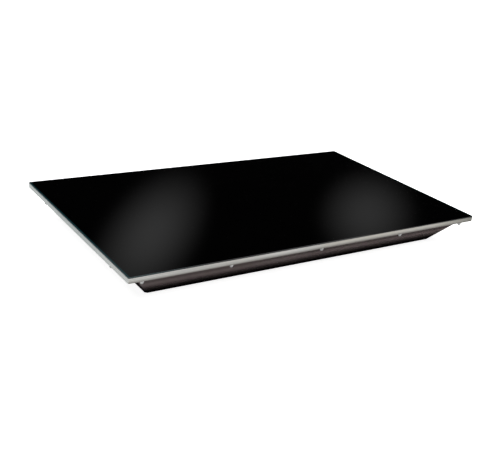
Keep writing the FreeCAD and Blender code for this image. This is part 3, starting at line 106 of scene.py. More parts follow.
Array = np.ndarray
Socket = bpy.types.NodeSocket
Colour = tuple[float, float, float]
Triple = tuple[float, float, float]
Row = tuple[Any, Any]


# ---------------------------------------- surfaces

class Facing(Enum):
    """Images of a piece's own x, y and z axes: z is the way that the piece faces."""

    UP = ((1, 0, 0), (0, 1, 0), (0, 0, 1))
    DOWN = ((1, 0, 0), (0, -1, 0), (0, 0, -1))
    REAR = ((-1, 0, 0), (0, 0, 1), (0, 1, 0))


@dataclass(frozen=True)
class Station:
    """Where a piece stands: the point that its own origin goes to, and the way it faces."""

    place: Triple
    facing: Facing

    def carry(self, local: Array) -> Array:
        """Moves points from the piece's own axes to the frame.

        Args:
            local: points in the piece's own axes, in mm, with the coordinates last.

        Returns:
            The same points in the frame, in mm.
        """
        return np.array(self.place) + local @ np.array(self.facing.value, float)


@dataclass
class Surface:
    """Grids of points with their faces, gathered until they become one mesh."""

    points: list[Array] = field(default_factory=list)
    faces: list[Array] = field(default_factory=list)

    def add_grid(self, grid: Array, wrap_rows: bool = False, wrap_columns: bool = False,
                 keep: Array | None = None) -> "Surface":
        """Adds a grid of points with a face between each four neighbours.

        Args:
            grid: points as an array of rows, columns and coordinates, in mm.
            wrap_rows: whether the last row joins the first.
            wrap_columns: whether the last column joins the first.
            keep: which cells get a face, one truth value a cell, or all of them.

        Returns:
            The surface itself.
        """
        rows, columns = grid.shape[:2]
        row, column = np.meshgrid(np.arange(rows if wrap_rows else rows - 1),
                                  np.arange(columns if wrap_columns else columns - 1),
                                  indexing="ij")
        below, beside = (row + 1) % rows, (column + 1) % columns
        quads = np.stack([row * columns + column, row * columns + beside,
                          below * columns + beside, below * columns + column], axis=-1)
        quads = quads.reshape(-1, 4) if keep is None else quads[keep]
        self.faces.append(quads + sum(len(part) for part in self.points))
        self.points.append(grid.reshape(-1, 3))
        return self

    def add_turned(self, rows: Sequence[Row], angles: Array, stations: Iterable[Station],
                   wrap_rows: bool = False) -> "Surface":
        """Adds a turned shape at each station.

        Args:
            rows: pairs of radius and height, in mm.
            angles: angles of the columns, in radians.
            stations: where the shape stands.
            wrap_rows: whether the last row joins the first, as round a bore.

        Returns:
            The surface itself.
        """
        grid = turned(rows, angles)
        for station in stations:
            self.add_grid(station.carry(grid), wrap_rows=wrap_rows, wrap_columns=True)
        return self

    def to_mesh(self, name: str, sharp: float) -> bpy.types.Mesh:
        """Makes one mesh: doubles merged, faces turned outwards, soft under an angle.

        Args:
            name: the mesh's name.
            sharp: edges that fold by more than this many degrees stay crisp.

        Returns:
            The mesh, in metres.
        """
        mesh = bpy.data.meshes.new(name)
        mesh.from_pydata((np.concatenate(self.points) * MM).tolist(), [],
                         np.concatenate(self.faces).tolist())
        clean_mesh(mesh)
        mesh.shade_smooth()
        mesh.set_sharp_from_angle(angle=math.radians(sharp))
        return mesh


def clean_mesh(mesh: bpy.types.Mesh, join_flat: bool = False) -> None:
    """Merges doubles, tidies the faces that they leave and turns the faces outwards.

    Args:
        mesh: the mesh, changed in place.
        join_flat: whether flat neighbours are joined. If not, faces without area are dropped.
    """
    work = bmesh.new()
    work.from_mesh(mesh)
    bmesh.ops.remove_doubles(work, verts=work.verts, dist=WELD)
    if join_flat:
        bmesh.ops.dissolve_limit(work, angle_limit=FLAT_FOLD, verts=work.verts,
                                 edges=work.edges)
    else:
        bmesh.ops.dissolve_degenerate(work, edges=work.edges, dist=WELD / 4)
    bmesh.ops.recalc_face_normals(work, faces=work.faces)
    work.to_mesh(mesh)
    work.free()


def turned(rows: Sequence[Row], angles: Array) -> Array:
    """Grid of a turned shape: row k stands at radius r_k and height h_k, at every angle.

    A radius or a height is one number, or an array with a value for each angle, so that a
    row can run round a hexagon or along the curve where a cone meets it.

    Args:
        rows: pairs of radius and height, in mm.
        angles: angles of the columns, in radians.

    Returns:
        The grid, one row for each pair.
    """
    radius = np.array([np.broadcast_to(pair[0], angles.shape) for pair in rows])
    height = np.array([np.broadcast_to(pair[1], angles.shape) for pair in rows])
    return np.stack([radius * np.cos(angles), radius * np.sin(angles), height], axis=-1)


def round_angles(count: int) -> Array:
    """Angles of a full turn in equal steps, with the last step left open."""
    return np.linspace(0, FULL_TURN, count, endpoint=False)


def hexagon_radius(angles: Array, flats: float) -> Array:
    """Radius of a hexagon with corners at 0 and each 60 degrees: half its flats over cos.

    Args:
        angles: angles, in radians.
        flats: size across the flats, in mm.

    Returns:
        The radius at each angle, in mm.
    """
    sector = angles % (math.pi / 3) - math.pi / 6
    return flats / 2 / np.cos(sector)


def chamfered_hexagon(angles: Array, flats: float, face_share: float
                      ) -> tuple[Array, float, Array]:
    """Hexagon whose face is a circle, where a 30 degree cone cuts its corners.

    The cone leaves the face at a share of half the flats, so that it reaches down the hexagon
    by the hexagon's radius over that circle's, times the tangent of 30 degrees.

    Args:
        angles: angles, in radians.
        flats: size across the flats, in mm.
        face_share: radius of the face as a share of half the flats.

    Returns:
        The hexagon's radius, the face's radius and the cone's reach at each angle, in mm.
    """
    edge = hexagon_radius(angles, flats)
    face = face_share * flats / 2
    return edge, face, (edge - face) * CHAMFER


def arc(centre: tuple[float, float], radius: float, start: float, end: float,
        steps: int) -> list[tuple[float, float]]:
    """Points of an arc in a profile: centre plus radius times cosine and sine.

    Args:
        centre: radius and height of the arc's centre, in mm.
        radius: the arc's radius, in mm.
        start: first angle, in degrees.
        end: last angle, in degrees.
        steps: number of steps.

    Returns:
        Pairs of radius and height.
    """
    turn = np.radians(np.linspace(start, end, steps + 1))
    return list(zip(centre[0] + radius * np.cos(turn), centre[1] + radius * np.sin(turn)))


def ripple(x: Array, y: Array, length: float) -> Array:
    """Soft uneven wave from -1 to 1: three crossed sine waves of unlike lengths, averaged.

    Args:
        x: first coordinate, in mm.
        y: second coordinate, in mm.
        length: length of the longest wave, in mm.

    Returns:
        The wave's height at each point.
    """
    waves = ((1.0, 1.0, 0.37, 0.0), (1.7, -0.41, 1.0, 1.1), (2.9, 0.83, 0.62, 2.3))
    return sum(np.sin(FULL_TURN / length * pace * (x_share * x + y_share * y) + phase)
               for pace, x_share, y_share, phase in waves) / len(waves)


def link(thing: bpy.types.Object) -> None:
    """Puts an object in the scene."""
    bpy.context.scene.collection.objects.link(thing)


# ---------------------------------------- node trees

@dataclass(frozen=True)
class Graph:
    """Short way to add nodes to a tree and to join them."""

    tree: bpy.types.NodeTree

    @classmethod
    def of(cls, owner: bpy.types.ID) -> "Graph":
        """Gives the graph of a material, a lamp or the world, with no node in it yet.

        Args:
            owner: what the graph belongs to.

        Returns:
            The graph.
        """
        owner.use_nodes = True
        owner.node_tree.nodes.clear()
        return cls(owner.node_tree)

    def add(self, kind: str, inputs: dict[Any, Any] | None = None,
            **properties: Any) -> bpy.types.Node:
        """Adds a node, sets its properties and fills its inputs.

        Args:
            kind: the node's type.
            inputs: a value or a socket for each named or numbered input.
            **properties: properties of the node.

        Returns:
            The node.
        """
        node = self.tree.nodes.new(kind)
        for key, value in properties.items():
            setattr(node, key, value)
        for key, value in (inputs or {}).items():
            if isinstance(value, Socket):
                self.tree.links.new(value, node.inputs[key])
            else:
                node.inputs[key].default_value = value
        return node

    def math(self, operation: str, first: Any, second: Any = 0.0) -> Socket:
        """Result of a Math node.

        Args:
            operation: the node's operation.
            first: a number or a socket.
            second: a number or a socket.

        Returns:
            The output socket.
        """
        return self.add("ShaderNodeMath", {0: first, 1: second}, operation=operation).outputs[0]

    def parts(self, vector: Socket) -> Sequence[Socket]:
        """Sockets of a vector's x, y and z."""
        return self.add("ShaderNodeSeparateXYZ", {0: vector}).outputs

    def noise(self, vector: Socket, scale: Any, detail: Any = 2.0) -> Sequence[Socket]:
        """Outputs of a noise texture: its value, then its colour."""
        return self.add("ShaderNodeTexNoise", {"Vector": vector, "Scale": scale,
                                               "Detail": detail}).outputs

    def cells(self, vector: Socket, scale: Any, feature: str = "F1") -> Sequence[Socket]:
        """Outputs of a cell texture: the distance, then the cell's colour."""
        return self.add("ShaderNodeTexVoronoi", {"Vector": vector, "Scale": scale},
                        feature=feature).outputs

    def bend(self, vector: Socket, noise: Sequence[Socket], reach: float) -> Socket:
        """Coordinates pushed about by a noise's colour, by up to a reach in metres."""
        return self.add("ShaderNodeVectorMath", {0: noise[1], 1: (reach,) * 3, 2: vector},
                        operation="MULTIPLY_ADD").outputs[0]

    def blend(self, mask: Any, low: Any, high: Any) -> Socket:
        """Mixes two colours: the first where the mask is 0, the second where it is 1.

        Args:
            mask: a number or a socket.
            low: colour or socket at 0.
            high: colour or socket at 1.

        Returns:
            The colour socket.
        """
        colours = [value if isinstance(value, Socket) else (*value, 1.0)
                   for value in (low, high)]
        node = self.add("ShaderNodeMix", {0: mask, 6: colours[0], 7: colours[1]},
                        data_type="RGBA")
        return node.outputs[2]

    def spread(self, mask: Any, low: Any, high: Any, soft: bool = False,
               start: Any = 0.0, end: Any = 1.0) -> Socket:
        """Maps a value from the range start to end onto the range low to high.

        Args:
            mask: the value, a socket.
            low: result at start.
            high: result at end.
            soft: whether the change eases in and out.
            start: value that gives low.
            end: value that gives high.

        Returns:
            The result's socket.
        """
        node = self.add("ShaderNodeMapRange", {"Value": mask, "From Min": start, "From Max": end,
                                               "To Min": low, "To Max": high},
                        interpolation_type="SMOOTHSTEP" if soft else "LINEAR")
        return node.outputs[0]

    def use(self, group: bpy.types.NodeTree, **inputs: Any) -> bpy.types.Node:
        """Places a node group and fills its inputs, whose spaces are written as underscores."""
        named = {key.replace("_", " "): value for key, value in inputs.items()}
        return self.add("ShaderNodeGroup", named, node_tree=group)


class Pattern(Enum):
    """Patterns that the finishes share. Each is a node group that is built once.

    PatternShelf has a method for each, named build_ and the pattern's name.
    """

    MOTTLE = "Mottle"
    MITRED_BRUSH = "Mitred brush"
    GRAIN = "Grain"
    SPANGLE = "Spangle"
    FIBRE = "Fibre"
    CRINKLE = "Crinkle"
    FADE = "Height fade"
    ENDS = "Frame ends"
    MARGIN = "Plate margin"


@dataclass
class PatternShelf:
    """Keeps the node groups of the patterns and builds each when it is first asked for."""

    groups: dict[Pattern, bpy.types.NodeTree] = field(default_factory=dict)

    def take(self, pattern: Pattern) -> bpy.types.NodeTree:
        """Gives a pattern's node group.

        Args:
            pattern: the pattern.

        Returns:
            Its node group, with outputs Mask and Height from 0 to 1.
        """
        if pattern not in self.groups:
            getattr(self, f"build_{pattern.name.lower()}")()
        return self.groups[pattern]

    def start(self, pattern: Pattern, **numbers: float) -> tuple[Graph, Socket, Any]:
        """Starts a pattern's group, with a Vector input and numbers that can be set.

        Args:
            pattern: the pattern, which names the group.
            **numbers: the other inputs with their usual values.

        Returns:
            The group's graph, the socket of its coordinates and the sockets of all its inputs.
        """
        tree = bpy.data.node_groups.new(pattern.value, "ShaderNodeTree")
        self.groups[pattern] = tree
        tree.interface.new_socket("Vector", in_out="INPUT", socket_type="NodeSocketVector")
        for name, value in numbers.items():
            socket = tree.interface.new_socket(name.replace("_", " "), in_out="INPUT",
                                               socket_type="NodeSocketFloat")
            socket.default_value = value
        for name in ("Mask", "Height"):
            tree.interface.new_socket(name, in_out="OUTPUT", socket_type="NodeSocketFloat")
        graph = Graph(tree)
        given = graph.add("NodeGroupInput").outputs
        return graph, given["Vector"], given

    @staticmethod
    def close(graph: Graph, mask: Socket, height: Socket) -> None:
        """Joins a mask and a height to the outputs of a pattern's group."""
        graph.add("NodeGroupOutput", {"Mask": mask, "Height": height})

    def build_mottle(self) -> None:
        """Soft cloudy patches: noise, with its middle part drawn out to the whole range."""
        graph, where, given = self.start(Pattern.MOTTLE, Scale=20.0, Detail=3.0, Low=0.4, High=0.6)
        noise = graph.noise(where, given["Scale"], given["Detail"])[0]
        mask = graph.spread(noise, 0.0, 1.0, soft=True, start=given["Low"], end=given["High"])
        self.close(graph, mask, noise)

    @staticmethod
    def stretched_noise(graph: Graph, vector: Socket, along: Any, across: Any,
                        axis: int) -> Socket:
        """Noise that is drawn out along one axis.

        Args:
            graph: the graph that it goes into.
            vector: socket of the coordinates.
            along: scale along the axis.
            across: scale across it.
            axis: 0 for x, 1 for y.

        Returns:
            Socket of the noise.
        """
        scales = [across] * 3
        scales[axis] = along
        size = graph.add("ShaderNodeCombineXYZ", dict(enumerate(scales))).outputs[0]
        stretched = graph.add("ShaderNodeVectorMath", {0: vector, 1: size},
                              operation="MULTIPLY").outputs[0]
        return graph.add("ShaderNodeTexNoise", {"Vector": stretched, "Scale": 1.0,
                                                "Detail": 4.0, "Roughness": 0.6}).outputs[0]

    def build_ends(self) -> None:
        """The two ends of a frame, as against its long sides, parted at the mitred corners.

        A point belongs to an end where its distance from the middle along x, less half the
        difference of the frame's sides, is more than its distance along y.
        """
        graph, where, given = self.start(Pattern.ENDS, Excess=0.19)
        x, y, _ = graph.parts(where)
        from_x = graph.math("SUBTRACT", graph.math("ABSOLUTE", x), given["Excess"])
        is_end = graph.math("GREATER_THAN", from_x, graph.math("ABSOLUTE", y))
        self.close(graph, is_end, is_end)

    def build_margin(self) -> None:
        """Strips along the four edges of a plate, each pair with a width of its own.

        The mask rises from 0 to 1 between one and half a width from the edge. Along the long
        sides it fades with the distance from the left end, over the reach, as painted reflection
        that shows only near that end.
        """
        graph, where, given = self.start(Pattern.MARGIN, Half_x=HALF_WIDTH, Half_y=HALF_DEPTH,
                                         Width_x=0.002, Width_y=0.001, Reach=0.2)
        parts = graph.parts(where)
        strips = []
        for part, axis in zip(parts, ("x", "y")):
            inside = graph.math("SUBTRACT", given[f"Half {axis}"], graph.math("ABSOLUTE", part))
            share = graph.math("DIVIDE", inside, given[f"Width {axis}"])
            strips.append(graph.spread(share, 1.0, 0.0, soft=True, start=0.5, end=1.0))
        # painted reflection: the side strips fade out away from the left end
        from_end = graph.math("ADD", given["Half x"], parts[0])
        near = graph.spread(from_end, 1.0, 0.0, soft=True, end=given["Reach"])
        strip = graph.math("MAXIMUM", strips[0], graph.math("MULTIPLY", strips[1], near))
        self.close(graph, strip, strip)

    def build_mitred_brush(self) -> None:
        """Brush lines along each side of a frame, which change over at its mitred corners."""
        graph, where, given = self.start(Pattern.MITRED_BRUSH, Along=8.0, Across=900.0,
                                         Excess=0.19)
        sides = [self.stretched_noise(graph, where, given["Along"], given["Across"], axis)
                 for axis in (0, 1)]
        is_end = graph.use(self.take(Pattern.ENDS), Vector=where,
                           Excess=given["Excess"]).outputs["Mask"]
        lines = graph.add("ShaderNodeMix", {0: is_end, 2: sides[0], 3: sides[1]},
                          data_type="FLOAT").outputs[0]
        mask = graph.spread(lines, 0.0, 1.0, soft=True, start=0.35, end=0.65)
        self.close(graph, mask, lines)

    def build_grain(self) -> None:
        """Fine moulded grain: small cells, softened, with fine noise over them."""
        graph, where, given = self.start(Pattern.GRAIN, Scale=1500.0)
        cells = graph.cells(where, given["Scale"], "SMOOTH_F1")
        noise = graph.noise(where, given["Scale"])
        height = graph.math("MULTIPLY", graph.math("ADD", cells[0], noise[0]), 0.5)
        mask = graph.spread(height, 0.0, 1.0, soft=True, start=0.2, end=0.6)
        self.close(graph, mask, height)

    def build_spangle(self) -> None:
        """Crystals of a zinc or aluminium coat: cells that each have a tone of their own."""
        graph, where, given = self.start(Pattern.SPANGLE, Scale=120.0)
        noise = graph.noise(where, given["Scale"])
        bent = graph.bend(where, noise, reach=0.004)
        cells = graph.cells(bent, given["Scale"])
        tone = graph.add("ShaderNodeSeparateColor", {0: cells["Color"]}).outputs[0]
        self.close(graph, tone, noise[0])

    def build_fibre(self) -> None:
        """Matted fibres: noise drawn out along x and along y, bent and laid over each other."""
        graph, where, given = self.start(Pattern.FIBRE, Along=60.0, Across=900.0)
        noise = graph.noise(where, scale=70.0)
        bent = graph.bend(where, noise, reach=0.01)
        strands = [self.stretched_noise(graph, bent, given["Along"], given["Across"], axis)
                   for axis in (0, 1)]
        height = graph.math("MAXIMUM", *strands)
        mask = graph.spread(height, 0.0, 1.0, soft=True, start=0.4, end=0.7)
        self.close(graph, mask, height)

    def build_crinkle(self) -> None:
        """Creased foil: flat cells that tilt against each other, and finer ones over them."""
        graph, where, given = self.start(Pattern.CRINKLE, Scale=60.0)
        finer, flatter = 2.7, 0.4
        coarse = graph.cells(where, given["Scale"], "F2")
        fine = graph.cells(where, graph.math("MULTIPLY", given["Scale"], finer))
        height = graph.math("ADD", coarse[0], graph.math("MULTIPLY", fine[0], flatter))
        self.close(graph, graph.spread(height, 0.0, 1.0, start=0.3, end=1.1), height)

    def build_fade(self) -> None:
        """Change with height: 0 under the low level, 1 over the high one, eased between."""
        graph, where, given = self.start(Pattern.FADE, Low=0.0, High=0.06)
        mask = graph.spread(graph.parts(where)[2], 0.0, 1.0, soft=True,
                            start=given["Low"], end=given["High"])
        self.close(graph, mask, mask)


# ---------------------------------------- finishes

class Slot(StrEnum):
    """Material slots of the record, which are named as their members in small letters."""

    BLACK_GLASS = auto()
    BLACK_SILICONE = auto()
    SPONGE_SILICONE = auto()
    STAINLESS = auto()
    PLATED_STEEL = auto()
    BRIGHT_NUT = auto()
    PAN_STEEL = auto()
    FOIL = auto()
    CABLE_SILICONE = auto()
    GLASS_WOOL = auto()
    ALUMINISED = auto()
    PHENOLIC = auto()
    DIAL_PRINT = auto()
    BLACK_PLASTIC = auto()
    WHITE_INLAY = auto()
    SWITCH_PLASTIC = auto()
    ROCKER_LENS = auto()
    RED_BUTTON = auto()
    COPPER = auto()
    WHITE_CERAMIC = auto()
    BRASS = auto()
    WIRE_SILICONE = auto()


@dataclass(frozen=True)
class Canvas:
    """What a finish paints on: its graph, the shared patterns and the coordinates."""

    graph: Graph
    shelf: PatternShelf
    where: Socket

    def lay(self, pattern: Pattern, **numbers: Any) -> Any:
        """Lays a shared pattern over the whole piece.

        Args:
            pattern: the pattern.
            **numbers: values or sockets of its inputs.

        Returns:
            The pattern's outputs, Mask and Height.
        """
        return self.graph.use(self.shelf.take(pattern), Vector=self.where, **numbers).outputs


@dataclass(frozen=True)
class Finish:
    """A surface finish: two tones that a pattern mixes, its gloss and its fine relief.

    The pattern's mask goes from the shade and the rougher value to the colour and the smoother
    one. A second, cloudy mask over the whole piece darkens both a little, as handling does.
    """

    slot: Slot
    colour: Colour
    shade: Colour
    pattern: Pattern
    numbers: dict[str, float] = field(default_factory=dict)
    smooth: float = 0.3
    rough: float = 0.4
    metallic: float = 0.0
    relief: float = 0.00002
    relief_share: float = 0.4
    clouding: float = 0.12
    cloud_scale: float = 14.0
    cloud_roughening: float = 0.25
    cloud_strength: float = 3.0
    fixed: dict[str, Any] = field(default_factory=dict)

    def build(self, shelf: PatternShelf) -> bpy.types.Material:
        """Makes the material.

        Args:
            shelf: the shared node groups.

        Returns:
            The material.
        """
        material = bpy.data.materials.new(self.slot.value)
        graph = Graph.of(material)
        canvas = Canvas(graph, shelf, graph.add("ShaderNodeTexCoord").outputs["Object"])
        pattern = canvas.lay(self.pattern, **self.numbers)
        cloud = canvas.lay(Pattern.MOTTLE, Scale=self.cloud_scale, Detail=4.0, Low=0.35,
                           High=0.65)["Mask"]
        colour = graph.blend(pattern["Mask"], self.shade, self.colour)
        colour = self.tone(canvas, colour, cloud)
        rough = graph.spread(pattern["Mask"], self.rough, self.smooth)
        worn = graph.math("MULTIPLY", cloud, self.cloud_roughening * self.clouding)
        rough = graph.math("ADD", rough, worn)
        bump = graph.add("ShaderNodeBump", {"Strength": self.relief_share,
                                            "Distance": self.relief,
                                            "Height": pattern["Height"]}).outputs[0]
        shader = graph.add("ShaderNodeBsdfPrincipled",
                           {"Base Color": colour, "Roughness": rough, "Normal": bump,
                            "Metallic": self.metallic, **self.fixed})
        graph.add("ShaderNodeOutputMaterial", {"Surface": shader.outputs[0]})
        return material

    def tone(self, canvas: Canvas, colour: Socket, cloud: Socket) -> Socket:
        """Darkens the colour a little in soft clouds.

        Args:
            canvas: what the finish paints on.
            colour: socket of the colour so far.
            cloud: socket of the cloudy mask.

        Returns:
            Socket of the toned colour.
        """
        dim = tuple(channel * (1 - self.clouding) for channel in self.shade)
        share = min(1.0, self.cloud_strength * self.clouding)
        return canvas.graph.blend(canvas.graph.math("MULTIPLY", cloud, share), colour, dim)


@dataclass(frozen=True)
class GlassFinish(Finish):
    """Black glass, enamelled underneath up to a margin whose green is partly the glass's own tint
    and partly painted reflection.
    """

    # green margin colour: the edge's tint and a painted reflection
    bare: Colour = (0.008, 0.036, 0.042)
    end_margin: float = 0.0044
    side_margin: float = 0.0009

    def tone(self, canvas: Canvas, colour: Socket, cloud: Socket) -> Socket:
        """Lays the margin's green over the black: edge tint and painted reflection.

        Args:
            canvas: what the finish paints on.
            colour: socket of the colour so far.
            cloud: socket of the cloudy mask, which the glass doesn't use.

        Returns:
            Socket of the toned colour.
        """
        margin = canvas.lay(Pattern.MARGIN, Half_x=HALF_WIDTH, Half_y=HALF_DEPTH,
                            Width_x=self.end_margin, Width_y=self.side_margin)
        return canvas.graph.blend(margin["Mask"], colour, self.bare)


@dataclass(frozen=True)
class PanFinish(Finish):
    """Warm grey sheet with painted shade: it darkens to black towards the floor, under the rim and
    on its ends.
    """

    # painted shade: the black that the sheet darkens to towards the floor, under the rim and on
    # its ends
    deep: Colour = (0.002, 0.0018, 0.0015)
    # heights over which the painted shade towards the floor gives way to the sheet's tone
    low: float = 0.002
    high: float = 0.056
    # painted shade under the rim's overhang
    shaded_from: float = 0.032
    shaded_to: float = 0.044
    shaded_share: float = 0.58
    # painted shade on the ends, which lie in shadow
    end_share: float = 0.92
    excess: float = 0.18

    def tone(self, canvas: Canvas, colour: Socket, cloud: Socket) -> Socket:
        """Paints shade over the usual clouds: black towards the floor, a band under the rim and
        the ends.

        Args:
            canvas: what the finish paints on.
            colour: socket of the colour so far.
            cloud: socket of the cloudy mask.

        Returns:
            Socket of the toned colour.
        """
        graph = canvas.graph
        colour = super().tone(canvas, colour, cloud)
        # painted shade: darker towards the floor
        fade = canvas.lay(Pattern.FADE, Low=self.low, High=self.high)["Mask"]
        colour = graph.blend(fade, self.deep, colour)
        # painted shade under the rim's overhang and on the ends
        shaded = canvas.lay(Pattern.FADE, Low=self.shaded_from, High=self.shaded_to)["Mask"]
        ends = canvas.lay(Pattern.ENDS, Excess=self.excess)["Mask"]
        dark = graph.math("MAXIMUM", graph.math("MULTIPLY", shaded, self.shaded_share),
                          graph.math("MULTIPLY", ends, self.end_share))
        return graph.blend(dark, colour, self.deep)


@dataclass(frozen=True)
class RimFinish(Finish):
    """Brushed stainless band: straw-toned patches, painted reflection on the ends, painted shade
    along the lower edge and towards the right-hand end.
    """

    straw: Colour = (0.52, 0.495, 0.44)
    straw_share: float = 0.6
    # painted reflection on the ends: a cool tone, and a painted highlight towards the front
    cool: Colour = (0.45, 0.495, 0.49)
    bright: Colour = (0.545, 0.572, 0.56)
    bright_from: float = -0.08
    bright_to: float = -0.24
    # painted shade along the lower edge of the long sides
    dark: Colour = (0.19, 0.185, 0.17)
    dark_under: float = 0.063
    clear_over: float = 0.071
    excess: float = MITRE
    # share of the painted reflection over the ends
    end_share: float = 0.8
    # painted shade that darkens the band towards the right-hand end
    dull: Colour = (0.15, 0.15, 0.13)
    dull_from: float = 0.323
    dull_to: float = 0.457
    dull_share: float = 0.76

    def tone(self, canvas: Canvas, colour: Socket, cloud: Socket) -> Socket:
        """Lays broad straw patches over the steel, and painted reflection on the ends, with a
        painted highlight to the front.

        Painted shade darkens the band's lower edge, and more painted shade darkens it towards the
        right-hand end.

        Args:
            canvas: what the finish paints on.
            colour: socket of the colour so far.
            cloud: socket of the cloudy mask.

        Returns:
            Socket of the toned colour.
        """
        graph = canvas.graph
        colour = super().tone(canvas, colour, cloud)
        patch = canvas.lay(Pattern.MOTTLE, Scale=3.0, Detail=1.0, Low=0.45, High=0.6)["Mask"]
        colour = graph.blend(graph.math("MULTIPLY", patch, self.straw_share), colour,
                             self.straw)
        # painted reflection on the ends, lighter towards the front
        ends = canvas.lay(Pattern.ENDS, Excess=self.excess)["Mask"]
        x, y, _ = graph.parts(canvas.where)
        painted_highlight_share = graph.spread(y, 0.0, 1.0, start=self.bright_from, end=self.bright_to)
        end_painted_reflection_tone = graph.blend(painted_highlight_share, self.cool, self.bright)
        colour = graph.blend(graph.math("MULTIPLY", ends, self.end_share), colour, end_painted_reflection_tone)
        # painted shade along the lower edge, left off the ends
        clear = canvas.lay(Pattern.FADE, Low=self.dark_under, High=self.clear_over)["Mask"]
        colour = graph.blend(graph.math("MAXIMUM", clear, ends), self.dark, colour)
        # painted shade towards the right-hand end
        painted_right_shading = graph.spread(x, 0.0, self.dull_share, start=self.dull_from,
                              end=self.dull_to)
        return graph.blend(painted_right_shading, colour, self.dull)


